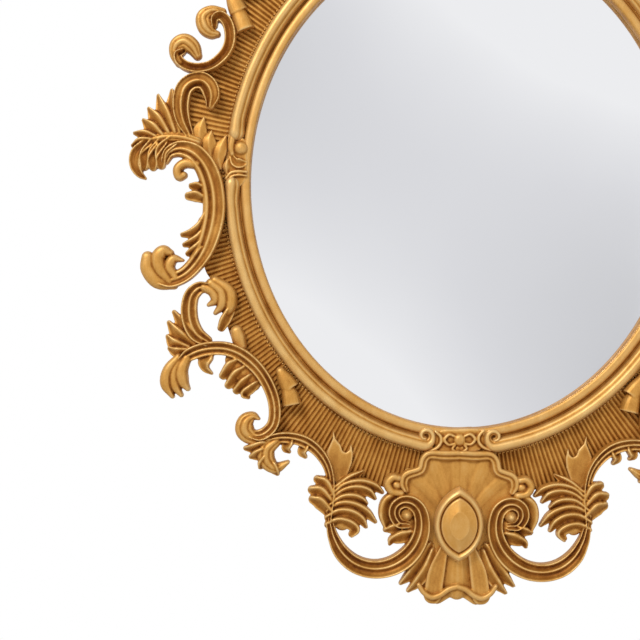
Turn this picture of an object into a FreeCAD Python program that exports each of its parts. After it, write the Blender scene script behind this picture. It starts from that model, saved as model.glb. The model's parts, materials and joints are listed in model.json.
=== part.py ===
import FreeCAD, Part
import math
import os
from FreeCAD import Placement, Rotation, Vector

# A carved and gilded oval wall mirror, as an assembly of separate pieces.
# Millimetres, +Z up. The glass faces -Y, and the origin is the oval's centre on the wall plane, y = 0.
# Height above the wall, h, runs along -Y. Tables that end in _PIXELS hold places read by eye from a
# straight front view of 640 x 640 pixels, and place() turns them into the model's own lengths.

# Oval rim
SIGHT_WIDTH = 606.0
SIGHT_HEIGHT = 696.0
RIM_WIDTH = 36.0
RIM_BAND_WIDTH = 13.0
RIM_BED_HEIGHT = 12.0
RIM_BAND_HEIGHT = 18.0
RIM_EDGE_ROUND = 2.5

# Glass and what holds it
GLASS_THICKNESS = 4.0
GLASS_OVERLAP = 8.0
GLASS_CLEARANCE = 1.0
CUSHION_THICKNESS = 1.0
CUSHION_WIDTH = 6.0
BOARD_THICKNESS = 4.0
WALL_GAP = 8.0

# Ribbed ground that the carving stands on
GROUND_THICKNESS = 10.0
GROUND_INSET = 4.0
SEAT_CLEARANCE = 0.3
FLUTE_PITCH = 5.9
FLUTE_WIDTH = 4.2
FLUTE_DEPTH = 2.0

# Carving: its reach below the rim, and its heights above what it stands on
CARVING_REACH = 214.0
BAND_HEIGHT = 24.0
LOBE_HEIGHT = 17.0
LOBE_LIFT = 0.8
HUSK_HEIGHT = 15.0
FLAME_HEIGHT = 8.0
EYE_HEIGHT = 27.0
EYE_LIFT = 1.6
PLATE_THICKNESS = 12.0
PLATE_SINK = 3.0
BOSS_HEIGHT = 15.0
CABOCHON_HEIGHT = 6.0

# Torus mouldings and flowers on the rim's bed
MOULDING_WIDTH = 15.0
MOULDING_HEIGHT = 13.0
MOULDING_EYE_RISE = 2.0
SIDE_FLOWER_WIDTH = 50.0
FOOT_FLOWER_WIDTH = 76.0
FLOWER_BLOCK_HEIGHT = 7.0
PETAL_RADIUS = 6.0
PETAL_HEIGHT = 5.0
PETAL_RING_RADIUS = 8.0
PETAL_SINK = 0.8
BUTTON_RADIUS = 5.5
BUTTON_HEIGHT = 8.5

# Dowels that pin the carving to what it stands on
DOWEL_RADIUS = 3.0
DOWEL_LENGTH = 15.0
DOWEL_CLEARANCE = 0.1

# Turn buttons that hold the backing board
TURN_BUTTON_COUNT = 6
TURN_BUTTON_LENGTH = 30.0
TURN_BUTTON_WIDTH = 12.0
TURN_BUTTON_THICKNESS = 1.5
TURN_BUTTON_LIFT = 0.1
TURN_BUTTON_OUTSET = 9.0

# Hangers and bumpers on the back, at this outset from the sight edge
FITTING_OUTSET = 27.0
HANGER_DEGREES = 41.0
STRAP_WIDTH = 16.0
STRAP_LENGTH = 22.0
STRAP_THICKNESS = 1.5
STRAP_SCREW_FIRST = 8.0
STRAP_SCREW_PITCH = 9.0
RING_WIRE_RADIUS = 2.0
RING_CLEARANCE = 0.08
RING_WIDTH = 24.0
RING_ARM = 14.0
RING_CORNER = 3.0
BUMPER_DEGREES = 62.0
BUMPER_RADIUS = 9.0
BUMPER_ROUND = 1.5

# Screws
SCREW_RADIUS = 1.9
SCREW_LENGTH = 7.0
SCREW_HEAD_RADIUS = 3.5
SCREW_HEAD_HEIGHT = 2.0
SCREW_CLEARANCE = 0.08

# Overrun of cutting tools past the faces they cut
OVERRUN = 5.0

# How the front view is read: the oval's centre, its sight half sizes, rim, reach and small tilt
CENTRE_PIXELS = (466.0, 181.0)
SIGHT_HALF_PIXELS = (216.6, 248.7)
RIM_PIXELS = 26.0
REACH_PIXELS = 152.3
TILT_DEGREES = 1.2
CREST_SPREAD_SHARE = 0.94
SIDE_FLOWER_DEGREES = 4.0

# Profiles across a carved stroke, as shares of its half width and of its height
BAND_PROFILE_SHARES = ((-1, 0), (-1, 0.55), (-0.8, 1), (-0.5, 0.95), (-0.15, 0.7),
                       (0.25, 0.7), (0.55, 0.95), (0.8, 1), (1, 0.55), (1, 0))
LOBE_PROFILE_SHARES = ((-1, 0), (-1, 0.35), (-0.45, 0.85), (0, 1), (0.45, 0.85), (1, 0.35), (1, 0))
ROUND_PROFILE_SHARES = ((-1, 0), (-0.92, 0.45), (-0.6, 0.85), (0, 1), (0.6, 0.85), (0.92, 0.45), (1, 0))
END_HEIGHT_SHARE = 0.6
SECTIONS_PER_SPAN = 1
MOULDING_SPANS = 9
PETAL_COUNT = 4
BOSS_TABLE_SHARE = 0.74
CABOCHON_SHARE = 0.66
CABOCHON_TOP_SHARE = 0.36

# Carved strokes of the left half, each a list of (x, y, half width) in pixels.
# A carving is one scrolled band and the lobes that grow from it.
UPPER_BAND_PIXELS = [(214, 24, 3), (214.5, 18, 4), (220, 15.5, 5), (226, 20.5, 5.4), (229.3, 30, 5.7),
                     (229.3, 41, 5.7), (225.5, 51, 5.6), (218, 59.5, 5.4), (208.5, 65.5, 5.2),
                     (197, 67.5, 5.2), (186.5, 65.5, 5), (179.5, 60.5, 4.8), (177.5, 54, 4),
                     (182, 51, 3)]
UPPER_LOBES_PIXELS = [
    [(222, 10, 4), (211, 9.5, 6), (203, 15.5, 7.8), (204.5, 25.5, 8), (210.5, 31.5, 6),
     (216.5, 32.5, 3.5)],
    [(178, 62, 4), (173.5, 53, 5), (176, 44, 7.5), (184, 40.5, 8.5), (192, 46, 8), (196.5, 54, 5)],
]

ACANTHUS_BAND_PIXELS = [(188, 131, 4), (183, 121, 7), (180, 109, 8), (180.5, 97, 8), (184, 87, 7.5),
                        (192, 80, 7), (202, 79, 7), (210, 85, 7.5), (213.5, 94, 7), (211, 103, 4)]
ACANTHUS_LOBES_PIXELS = [
    [(190, 137, 6), (177, 134.5, 5.5), (163, 135.5, 5), (149, 138.5, 4), (138, 141, 3)],
    [(178, 127, 4), (173, 110, 4.5), (171, 88, 1.5)],
    [(170, 129, 4), (163, 112, 5.5), (157, 93, 1.5)],
    [(164, 130, 4), (155, 117, 5), (147, 106, 1.5)],
    [(158, 132.5, 4), (149, 125, 5), (141.5, 117.5, 2)],
    [(151, 136.5, 3.5), (142, 134, 4), (132.5, 131.5, 1.5)],
    [(145, 140, 3.5), (138, 143, 4), (130.5, 147, 1.5)],
    [(142, 142, 4), (134, 152, 5), (133, 164, 5), (138, 173, 4), (144.5, 178, 1.5)],
    [(147, 142, 4), (142.5, 154, 4), (143.5, 167, 3)],
    [(152, 141, 4), (148.5, 153, 4), (149.5, 166, 3)],
    [(158, 140, 4.5), (153.5, 152, 4.5), (154, 165, 3)],
    [(166, 139, 5), (160, 150, 5), (160, 165.5, 3.5)],
]

SIDE_BAND_PIXELS = [(164.5, 160, 4), (169, 152, 6), (180, 148.5, 8), (193, 153, 10),
                    (203.5, 164.5, 11), (210, 180, 11.5), (213, 197, 11.5), (213, 214, 11.5),
                    (209.5, 232, 11), (203.5, 249, 10), (195, 263, 8.5), (184, 274, 8),
                    (171, 279.5, 8), (160, 279, 6)]
SIDE_LOBES_PIXELS = [
    [(195, 166, 4.5), (186, 163.5, 5), (178, 168, 5), (177, 176, 4.4), (182.5, 179, 3.4)],
    [(205, 189, 4.5), (197, 186, 4.8), (191, 185.5, 3)],
    [(205, 199, 6), (195, 195, 5.8), (187.5, 195.5, 4)],
    [(207, 212, 4), (201, 225, 5.5), (191.5, 232.5, 5), (181.5, 234.5, 2.6)],
    [(207, 224, 4.5), (199.5, 237, 5.5), (190.5, 242.5, 4.8), (183.5, 244.5, 2.6)],
    [(205, 237, 4.5), (198, 247, 5.5), (191, 251.5, 4.5), (187, 253.5, 2.8)],
    [(202, 249, 4), (197, 256, 4.6), (192.5, 260, 3)],
    [(172, 285.5, 4), (156, 282, 7), (145.5, 269, 7), (145, 256, 5)],
    [(168, 281, 5), (159, 268, 6.5), (158.5, 255, 6.5), (164.5, 248.8, 5.2), (171, 251.5, 2.4)],
    [(174, 277, 4.5), (168.5, 266, 5), (173, 258, 4.6), (182, 260, 1.8)],
]

LINK_BAND_PIXELS = [(206, 341, 5.5), (196, 334, 7.6), (190, 322, 8), (188.5, 308, 8),
                    (191, 295.5, 7.4), (198.5, 288, 6.4), (207, 287.5, 5)]
LINK_LOBES_PIXELS = [
    [(203, 287, 5), (212, 291.5, 5.6), (214.5, 300, 5), (207.5, 305, 2)],
    [(210, 283, 5), (220.5, 292, 5.4), (221, 305, 5), (214.5, 313, 2.4)],
    [(214, 280.5, 5), (228.5, 291, 6), (230, 305.5, 5.8), (224, 315.5, 3)],
    [(230, 312, 5), (224, 324, 6.5), (219.5, 332, 5.4)],
    [(198, 341, 5.5), (184, 327.5, 7), (173, 312, 2.4)],
    [(191, 345, 5.5), (176.5, 334, 7), (167.8, 322.5, 2.4)],
    [(186, 349, 5), (173, 344, 6.4), (166.5, 336.5, 2.4)],
    [(186, 352, 4.5), (175, 352, 5.4), (168.5, 348.5, 2.4)],
]

LOWER_BAND_PIXELS = [(183, 360, 4), (190, 354.5, 6), (200, 350.5, 6), (212, 348, 6), (225, 348.5, 6),
                     (238, 353, 6), (250, 361, 6), (260, 372, 5.5), (268, 385, 5.5), (273.5, 399, 5.2),
                     (275.5, 413, 5), (273.5, 425, 5), (267, 433, 5), (259, 436, 5), (251, 434, 4)]
LOWER_LOBES_PIXELS = [
    [(264, 438, 4), (252, 439, 7), (243, 431, 8.5), (244, 421.5, 7.5), (251, 417, 4.5), (258, 419.5, 1.5)],
    [(178, 356, 4), (167, 369, 5.5), (164.5, 384, 6), (171.5, 397, 2.5)],
    [(181, 357, 4), (173.5, 371, 5), (175, 386, 5), (180.5, 396, 2.2)],
    [(184.5, 357, 4), (181.5, 369, 5.5), (183, 380, 5.5), (187.5, 389.5, 2.2)],
    [(208, 353, 7), (203.5, 362, 6), (204.5, 369, 4), (211, 374, 1.5)],
    [(238, 361, 6), (229, 369.5, 5), (222, 379, 3)],
    [(246.5, 366, 6), (237, 376, 5), (228.5, 388, 3)],
    [(255.5, 374, 6), (247.5, 384, 5.5), (241, 393, 4.5), (246, 398, 2)],
]

CORNER_BAND_PIXELS = [(268, 440, 4.5), (280, 438, 5.5), (292, 438.5, 6), (304, 442, 6.3),
                      (314, 448.5, 6), (322, 457.5, 5.4), (327.5, 468, 4.6), (330.5, 481, 3.8),
                      (331.2, 494, 3.2), (330, 508, 3), (328, 522, 3)]
CORNER_LOBES_PIXELS = [
    [(276, 441, 6), (266.5, 449.5, 8.4), (266.5, 461, 8.6), (275.5, 468.5, 6), (287.5, 463, 2.2)],
    [(262, 446, 6), (253, 448.5, 5.6), (245, 449, 2.6)],
    [(262, 453, 6), (255, 456, 5.4), (250.5, 457.5, 2.6)],
    [(266, 460, 6), (261.5, 465, 5), (260, 468, 2.6)],
    [(272, 466, 5), (275, 471.5, 4.6), (277, 474.5, 2.6)],
    [(289, 442, 5.5), (286, 449.5, 5), (290.5, 454, 2.2)],
    [(301, 446, 5.5), (298, 452.5, 5), (302, 458, 2.6)],
    [(331, 497, 5.5), (324.5, 484.5, 6.6), (317.5, 480.5, 4.4)],
    [(330, 504, 5.5), (320, 493, 7), (312, 491, 4.6)],
    [(329, 513, 5.5), (319.5, 503.5, 7), (313, 500.5, 4.8)],
    [(336, 490, 4.5), (351, 479.5, 5.2), (363, 472.5, 1.8)],
    [(334, 496, 4), (345.5, 487, 5.2), (360.5, 484, 5.4), (374, 487.5, 5), (382.5, 493.5, 2.2)],
    [(333, 501, 4), (345, 492.5, 5.2), (357.5, 490, 5.4), (368.5, 493, 5), (375, 499.5, 2.2)],
    [(331.5, 506.5, 4), (342.5, 499.5, 5.2), (353, 498.5, 5.4), (361.5, 501, 4.6), (366.5, 504.5, 2.2)],
    [(329.5, 512, 4), (341, 506, 5.4), (353.5, 507, 5.8), (366, 513.5, 5.4), (375.5, 523, 2.2)],
    [(328, 518.5, 4), (339, 513.5, 5.4), (351, 514.5, 5.8), (361, 520.5, 5), (366, 528, 2.2)],
    [(328, 526, 4), (338, 522.5, 5.4), (348.5, 524.5, 5.6), (355.5, 530, 5), (351.5, 535.5, 3.2)],
]

VOLUTE_BAND_PIXELS = [(330, 525, 4), (333, 537, 5.5), (340, 551, 7.5), (351, 562, 8.5),
                      (364, 568, 8.8), (378, 569.5, 9), (392, 566.5, 9.3), (405, 559, 9.5),
                      (415, 548, 9), (421, 535, 8.4), (422.3, 522, 7.8), (419.5, 510.5, 7.2),
                      (412.5, 503.5, 6.6), (403.5, 501.8, 6), (396.5, 507, 5.4), (395.5, 515, 4.8),
                      (400.5, 521.5, 4), (409, 522, 3)]
VOLUTE_LOBES_PIXELS = [
    [(398, 497, 5), (386.5, 503, 6), (383.5, 515, 6), (386.5, 527, 4)],
    [(402, 524, 5), (392, 526, 5.2), (385, 529, 2.6)],
    [(413, 533, 7), (401, 536, 7), (392, 540.5, 4.6), (390, 545.5, 1.8)],
    [(431, 546, 4), (421.5, 562, 6), (410, 576, 5.6), (401, 584.5, 2.2)],
    [(434, 552, 4), (428, 569, 6), (418, 583, 5.6), (408.5, 592, 2.2)],
    [(400, 493, 4), (389, 490, 4.4), (386.5, 482.5, 4.4), (392.5, 477.5, 4.2), (398.5, 480.5, 3.6)],
    [(397, 499, 4), (394, 492.5, 4), (394, 486, 4)],
]
VOLUTE_EYE_PIXELS = (406.9, 515.2, 6.6)

# Shield and shell: left half of the outline and of its sunk field, then the ribs of the shell
PLATE_PIXELS = [(458, 452), (443, 452.5), (429, 451.5), (421.5, 457), (418.5, 468), (403, 473.5),
                (399.5, 485), (405, 496), (412, 510), (416, 530), (417, 550), (420, 570), (419, 588),
                (429, 600), (437.5, 605.5), (447, 601), (458, 593)]
FIELD_PIXELS = [(458, 461), (445, 460), (433, 458.5), (428.5, 463), (426, 475), (411, 478.5), (408.5, 486),
                (418, 499), (434, 490), (444, 487), (458, 483)]
SHELL_LOBES_PIXELS = [
    [(458, 563.5, 4), (458, 578, 6), (458, 592, 4)],
    [(438, 550, 4.5), (437, 572, 7), (435, 596, 5)],
]
BOSS_PIXELS = (458, 524.6, 22.6, 37.4)

# Small leaves, bells and buds that lie on the ground
FLAME_PIXELS = [(333, 431), (335.5, 440), (340.5, 446), (342.5, 452), (346, 454), (349.5, 451),
                (351.2, 444.5), (353, 455), (352, 464), (348, 475), (344, 484), (337, 487),
                (331.5, 479), (328.5, 466), (326.5, 453), (329.5, 446.5), (332.5, 440)]
HUSK_LOBES_PIXELS = [
    [(280, 372, 5), (284.5, 380, 8.2), (290, 389, 9.4)],
    [(286, 386, 6), (289.5, 396, 8.6), (291.5, 405.5, 9.6)],
]
SHOULDER_HUSK_LOBES_PIXELS = [
    [(233, -8, 5), (236.5, 2, 7.8), (240, 12, 9)],
    [(237, 8, 6), (241.5, 20, 8.6), (245.5, 31, 9.6)],
]
BUD_LOBES_PIXELS = [
    [(197.5, 143, 3.5), (198.5, 128, 5.8), (203.4, 115.8, 0.8)],
    [(206.5, 153, 3.5), (208, 142, 6.6), (211.5, 130.8, 0.8)],
    [(220, 168, 3), (219, 150, 7), (225, 133.8, 0.8)],
]
LINK_BUD_LOBES_PIXELS = [[(241, 346, 5), (238, 338, 7), (236, 331.5, 6.4)]]

# The ground's outer edge, hidden under the carving: from the foot to the lower scroll, then up the side
FOOT_GROUND_PIXELS = [(463, 490), (430, 489), (400, 488), (388, 489.5), (374, 485.5), (360, 482.5),
                      (345, 485.5), (334, 486), (327.3, 481.5), (324.3, 469.3), (319, 459),
                      (311.5, 450.5), (302.5, 444.8), (291.5, 441.5), (279, 440), (272.5, 431),
                      (272.2, 413), (270.5, 400), (265, 386.5), (257.3, 374.3), (248, 364)]
SIDE_GROUND_PIXELS = [(236.5, 355), (230, 338), (225.5, 322), (226, 306), (223, 294), (214, 283.5),
                      (204, 270), (204, 250), (207.5, 235), (209.5, 215), (209.5, 198), (207, 172),
                      (198, 149), (189, 131), (184.5, 115), (186, 99), (196, 80), (211, 66),
                      (221, 55), (225.5, 40), (226, 24), (233, 5)]

# Dowel places by the carving that they hold. The volutes stand on the cartouche, the others on the ground.
DOWEL_PIXELS = {
    "upper_scroll": [(230.5, 36)],
    "acanthus": [(205, 83.5), (211.5, 93)],
    "side_scroll": [(214, 195), (213.5, 221)],
    "link_scroll": [(230, 301)],
    "lower_scroll": [(261, 371), (275.8, 410)],
    "corner_scroll": [(298, 438.5), (318.5, 452)],
    "volute": [(422, 530)],
}
PLATE_DOWEL_PIXELS = [(428, 470)]
TWINNED_AT_THE_CREST = ("lower_scroll", "corner_scroll", "volute")

# Levels above the wall
FRAME_BACK = WALL_GAP
GLASS_BACK = FRAME_BACK + BOARD_THICKNESS
GLASS_FRONT = GLASS_BACK + GLASS_THICKNESS
FRAME_FRONT = GLASS_FRONT + CUSHION_THICKNESS
GROUND_FRONT = FRAME_FRONT + GROUND_THICKNESS
PLATE_FRONT = GROUND_FRONT + PLATE_THICKNESS
BED_FRONT = FRAME_FRONT + RIM_BED_HEIGHT
BAND_FRONT = FRAME_FRONT + RIM_BAND_HEIGHT

CARVING_SCALE = CARVING_REACH / REACH_PIXELS
SIDE_ANGLE = math.pi - math.radians(SIDE_FLOWER_DEGREES)
TOP_ANGLE = math.pi / 2
FOOT_ANGLE = 3 * math.pi / 2
BACK = Vector(0, 1, 0)
FRONT = Vector(0, -1, 0)
SIDEWAYS = Vector(1, 0, 0)
DIAGONAL_SHARE = math.sqrt(0.5)


def oval_point(angle, outset):
    """A point of the oval that stands outset outside the sight edge, at an eccentric angle."""
    half_width = SIGHT_WIDTH / 2 + outset
    half_height = SIGHT_HEIGHT / 2 + outset
    return Vector(half_width * math.cos(angle), 0, half_height * math.sin(angle))


def turn_along(angle, outset, distance):
    """The change of eccentric angle that moves a point of the oval by a short distance."""
    ahead = oval_point(angle + TOP_ANGLE, outset)
    return distance / ahead.Length


def place(pixel, crest=False):
    """A pixel's place in the plane of the carving. Its bearing on the rim and its distance out are kept.
    With crest, the place is turned over to the top of the oval and drawn in towards the middle."""
    tilt = math.radians(TILT_DEGREES)
    leaning_right = pixel[0] - CENTRE_PIXELS[0]
    leaning_down = pixel[1] - CENTRE_PIXELS[1]
    right = leaning_right * math.cos(tilt) + leaning_down * math.sin(tilt)
    down = leaning_down * math.cos(tilt) - leaning_right * math.sin(tilt)
    half_width = SIGHT_HALF_PIXELS[0] + RIM_PIXELS
    half_height = SIGHT_HALF_PIXELS[1] + RIM_PIXELS
    angle = math.atan2(-down / half_height, right / half_width)
    on_rim = math.hypot(half_width * math.cos(angle), half_height * math.sin(angle))
    beyond = math.hypot(right, down) - on_rim
    if crest:
        from_foot = math.remainder(angle - FOOT_ANGLE, 2 * math.pi)
        angle = TOP_ANGLE - from_foot * CREST_SPREAD_SHARE
    rim = oval_point(angle, RIM_WIDTH)
    return rim + rim * (beyond * CARVING_SCALE / rim.Length)


def facing(direction):
    """The turn about the depth axis that brings straight up to a direction."""
    return Rotation(BACK, math.degrees(math.atan2(direction.x, direction.z)))


def spline(points, periodic=False):
    """A smooth curve through points."""
    curve = Part.BSplineCurve()
    curve.interpolate(points, PeriodicFlag=periodic)
    return curve


def prism(outline, low, high):
    """The solid over a closed outline in the plane y = 0, from height low to height high."""
    face = Part.Face(outline)
    face.translate(FRONT * low)
    return face.extrude(FRONT * (high - low))


def disc(centre, radius, low, high):
    """A round solid with its axis along the view, from height low to height high."""
    return Part.makeCylinder(radius, high - low, centre + FRONT * low, FRONT)


def dome(centre, radius, height, seat):
    """A round dome on the height seat, with its axis along the view."""
    ball_radius = (radius ** 2 + height ** 2) / (2 * height)
    ball = Part.makeSphere(ball_radius, centre + FRONT * (seat + height - ball_radius))
    return ball.common(disc(centre, radius, seat, seat + height))


def biggest(shape):
    """The largest solid of a shape, without the crumbs that a cut can leave."""
    return max(shape.Solids, key=lambda solid: solid.Volume)


def mirrored(piece):
    """The right-hand twin of a left-hand piece."""
    return piece.mirror(Vector(), SIDEWAYS)


def symmetric_outline(half):
    """A closed smooth outline from its left half, which starts and ends on the middle line."""
    half[0].x = 0
    half[-1].x = 0
    whole = half + [Vector(-point.x, 0, point.z) for point in half[-2:0:-1]]
    return Part.Wire(spline(whole, periodic=True).toShape())


def section(point, across, half_width, height, seat, profile):
    """A closed profile set square to a stroke at one of its points, standing on the height seat."""
    corners = [point + across * (half_width * share) + FRONT * (seat + height * rise)
               for share, rise in profile]
    return Part.makePolygon(corners + corners[:1])


def stroke(points, half_widths, height, seat, profile):
    """A carved stroke: a profile lofted along a smooth path, lower where it is narrow."""
    path = spline(points)
    knots = [path.parameter(point) for point in points]
    widest = max(half_widths)
    sections = []
    for number in range((len(points) - 1) * SECTIONS_PER_SPAN + 1):
        span = min(number // SECTIONS_PER_SPAN, len(points) - 2)
        share = number / SECTIONS_PER_SPAN - span
        knot = knots[span] + (knots[span + 1] - knots[span]) * share
        half_width = half_widths[span] + (half_widths[span + 1] - half_widths[span]) * share
        ahead = path.tangent(knot)[0]
        across = Vector(-ahead.z, 0, ahead.x)
        rise = height * (END_HEIGHT_SHARE + (1 - END_HEIGHT_SHARE) * half_width / widest)
        sections.append(section(path.value(knot), across, half_width, rise, seat, profile))
    return Part.makeLoft(sections, True, False)


def carved(pixels, height, profile, seat, crest):
    """A stroke given in pixels, standing on the height seat."""
    points = [place(pixel, crest) for pixel in pixels]
    half_widths = [pixel[2] * CARVING_SCALE for pixel in pixels]
    return stroke(points, half_widths, height, seat, profile)


def carving(band_pixels, lobes_pixels, crest=False):
    """One carved piece: a scrolled band with the leaf lobes that grow from it."""
    band = carved(band_pixels, BAND_HEIGHT, BAND_PROFILE_SHARES, GROUND_FRONT, crest)
    lobe_seat = GROUND_FRONT + LOBE_LIFT
    lobes = [carved(lobe, LOBE_HEIGHT, LOBE_PROFILE_SHARES, lobe_seat, crest) for lobe in lobes_pixels]
    return biggest(band.multiFuse(lobes))


def leaves(lobes_pixels, height, profile, crest=False):
    """Small leaves or bells on the ground, each its own solid."""
    return [carved(lobe, height, profile, GROUND_FRONT, crest) for lobe in lobes_pixels]


def flame_leaf(crest=False):
    """A flat leaf on the ground with two pointed tips."""
    outline = [place(pixel, crest) for pixel in FLAME_PIXELS]
    return prism(Part.makePolygon(outline + outline[:1]), GROUND_FRONT, GROUND_FRONT + FLAME_HEIGHT)


def scribed(piece, *neighbours):
    """A piece trimmed to the neighbours that it meets."""
    for neighbour in neighbours:
        if piece.BoundBox.intersect(neighbour.BoundBox):
            piece = biggest(piece.cut(neighbour))
    return piece


def drilled(piece, holes):
    """A piece with the dowel holes that fall in it."""
    return biggest(piece.cut([hole for hole in holes if piece.BoundBox.intersect(hole.BoundBox)]))


def oval_wire(outset):
    """The oval that stands outset outside the sight edge."""
    ellipse = Part.Ellipse(oval_point(TOP_ANGLE, outset), oval_point(0, outset), Vector())
    return Part.Wire(ellipse.toShape())


def oval_plate(outset, low, high):
    """An oval plate."""
    return prism(oval_wire(outset), low, high)


def oval_ring(inner, outer, low, high):
    """A flat oval ring between two outsets from the sight edge."""
    return oval_plate(outer, low, high).cut(oval_plate(inner, low - OVERRUN, high + OVERRUN))


def rim_space():
    """The room of the rim and of what stands on it, which the ground and the carving keep out of."""
    high = BED_FRONT + MOULDING_HEIGHT + OVERRUN
    return oval_plate(RIM_WIDTH + SEAT_CLEARANCE, FRAME_FRONT - OVERRUN, high)


def ground_outline(inset):
    """The wavy outer edge of the ground, drawn in by inset."""
    lower = [place(pixel) for pixel in FOOT_GROUND_PIXELS + SIDE_GROUND_PIXELS]
    crest = [place(pixel, crest=True) for pixel in FOOT_GROUND_PIXELS]
    drawn_in = [point - point * (inset / point.Length) for point in lower + crest[::-1]]
    return symmetric_outline(drawn_in)


def back_frame(screw_spots):
    """The wooden ring that carries everything, with the pocket that the glass drops into."""
    blank = prism(ground_outline(GROUND_INSET), FRAME_BACK, FRAME_FRONT)
    pocket = oval_plate(GLASS_OVERLAP + GLASS_CLEARANCE, FRAME_BACK - OVERRUN, FRAME_FRONT + OVERRUN)
    bottom = FRAME_BACK + SCREW_LENGTH
    holes = [disc(spot, SCREW_RADIUS + SCREW_CLEARANCE, FRAME_BACK - OVERRUN, bottom)
             for spot in screw_spots]
    return biggest(blank.cut(pocket).cut(Part.makeCompound(holes)))


def sight_rim():
    """The oval rim round the glass: a raised inner band and a lower bed for the torus mouldings."""
    bed = oval_ring(0, RIM_WIDTH, FRAME_FRONT, BED_FRONT)
    band = oval_ring(0, RIM_BAND_WIDTH, BED_FRONT, BAND_FRONT)
    rim = bed.fuse(band).removeSplitter()
    front_edges = [edge for edge in rim.Edges if edge.BoundBox.YMax < RIM_EDGE_ROUND / 2 - BAND_FRONT]
    return biggest(rim.makeFillet(RIM_EDGE_ROUND, front_edges))


def flutes(first, last):
    """V-shaped grooves across the ground, square to the rim, between two angles."""
    around = math.pi * (SIGHT_WIDTH + SIGHT_HEIGHT + 4 * RIM_WIDTH) / 2
    turn = 2 * math.pi * FLUTE_PITCH / around
    count = int((last - first) / turn)
    grooves = []
    for number in range(count):
        angle = first + (last - first) * (number + 1 / 2) / count
        start = oval_point(angle, RIM_WIDTH - OVERRUN)
        ahead = (oval_point(angle, CARVING_REACH) - start).normalize()
        across = Vector(-ahead.z, 0, ahead.x) * FLUTE_WIDTH
        mouth = start + FRONT * (GROUND_FRONT + FLUTE_DEPTH)
        floor = start + FRONT * (GROUND_FRONT - FLUTE_DEPTH)
        triangle = Part.makePolygon([mouth - across, floor, mouth + across, mouth - across])
        grooves.append(Part.Face(triangle).extrude(ahead * CARVING_REACH))
    return Part.makeCompound(grooves)


def ribbed_grounds():
    """The left half of the fluted ground, cut level with the side flower into two plates."""
    whole = prism(ground_outline(0), FRAME_FRONT, GROUND_FRONT).cut(rim_space())
    span = SIGHT_WIDTH + SIGHT_HEIGHT
    corner = Vector(-span, -span / 2, oval_point(SIDE_ANGLE, RIM_WIDTH).z)
    upper = whole.common(Part.makeBox(span, span, span, corner))
    lower = whole.common(Part.makeBox(span, span, span, corner - Vector(0, 0, span)))
    upper = biggest(upper.cut(flutes(TOP_ANGLE, SIDE_ANGLE)))
    lower = biggest(lower.cut(flutes(SIDE_ANGLE, FOOT_ANGLE)))
    return upper, lower


def moulding(first, first_width, last, last_width):
    """A torus moulding on the rim's bed, from one flower block to the next, with scrolled ends."""
    bed_middle = (RIM_BAND_WIDTH + RIM_WIDTH) / 2
    eye_radius = (RIM_WIDTH - RIM_BAND_WIDTH) / 2 - SEAT_CLEARANCE
    start = first + turn_along(first, bed_middle, first_width / 2 + eye_radius + SEAT_CLEARANCE * 2)
    end = last - turn_along(last, bed_middle, last_width / 2 + eye_radius + SEAT_CLEARANCE * 2)
    outset = RIM_WIDTH - MOULDING_WIDTH / 2
    points = [oval_point(start + (end - start) * number / MOULDING_SPANS, outset)
              for number in range(MOULDING_SPANS + 1)]
    half_widths = [MOULDING_WIDTH / 2] * len(points)
    run = stroke(points, half_widths, MOULDING_HEIGHT, BED_FRONT, ROUND_PROFILE_SHARES)
    eyes = []
    for angle in (start, end):
        centre = oval_point(angle, bed_middle)
        top = BED_FRONT + MOULDING_HEIGHT - MOULDING_EYE_RISE
        eyes += [disc(centre, eye_radius, BED_FRONT, top),
                 dome(centre, eye_radius / 2, MOULDING_EYE_RISE * 2, top)]
    return biggest(run.multiFuse(eyes))


def rosette(centre, seat):
    """The domes of a flower: a ring of petals round a button."""
    petals = [dome(centre, BUTTON_RADIUS, BUTTON_HEIGHT, seat)]
    for number in range(PETAL_COUNT):
        bearing = 2 * math.pi * (number + 1 / 2) / PETAL_COUNT
        spot = centre + Vector(math.sin(bearing), 0, math.cos(bearing)) * PETAL_RING_RADIUS
        petals.append(dome(spot, PETAL_RADIUS, PETAL_HEIGHT, seat))
    return petals


def rim_flower(angle, width):
    """A rosette on a small block that fills the rim's bed between two mouldings."""
    inner = RIM_BAND_WIDTH + SEAT_CLEARANCE
    middle = oval_point(angle, (inner + RIM_WIDTH) / 2)
    outward = oval_point(angle, RIM_WIDTH)
    bed = oval_ring(inner, RIM_WIDTH, BED_FRONT, BED_FRONT + FLOWER_BLOCK_HEIGHT)
    corner = Vector(-width / 2, -BED_FRONT * 2, -RIM_WIDTH)
    slot = Part.makeBox(width, BED_FRONT * 2, RIM_WIDTH * 2, corner)
    slot.Placement = Placement(middle, facing(outward))
    petals = rosette(middle, BED_FRONT + FLOWER_BLOCK_HEIGHT - PETAL_SINK)
    return biggest(biggest(bed.common(slot)).multiFuse(petals))


def cartouche(crest=False):
    """The shield and shell: a shaped plate with a sunk field, and ribs down the shell."""
    outline = symmetric_outline([place(pixel, crest) for pixel in PLATE_PIXELS])
    plate = prism(outline, GROUND_FRONT, PLATE_FRONT)
    field = symmetric_outline([place(pixel, crest) for pixel in FIELD_PIXELS])
    plate = plate.cut(prism(field, PLATE_FRONT - PLATE_SINK, PLATE_FRONT + OVERRUN))
    middle, side = [carved(pixels, LOBE_HEIGHT, ROUND_PROFILE_SHARES, GROUND_FRONT + LOBE_LIFT, crest)
                    for pixels in SHELL_LOBES_PIXELS]
    return biggest(plate.multiFuse([middle, side, mirrored(side)]))


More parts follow.
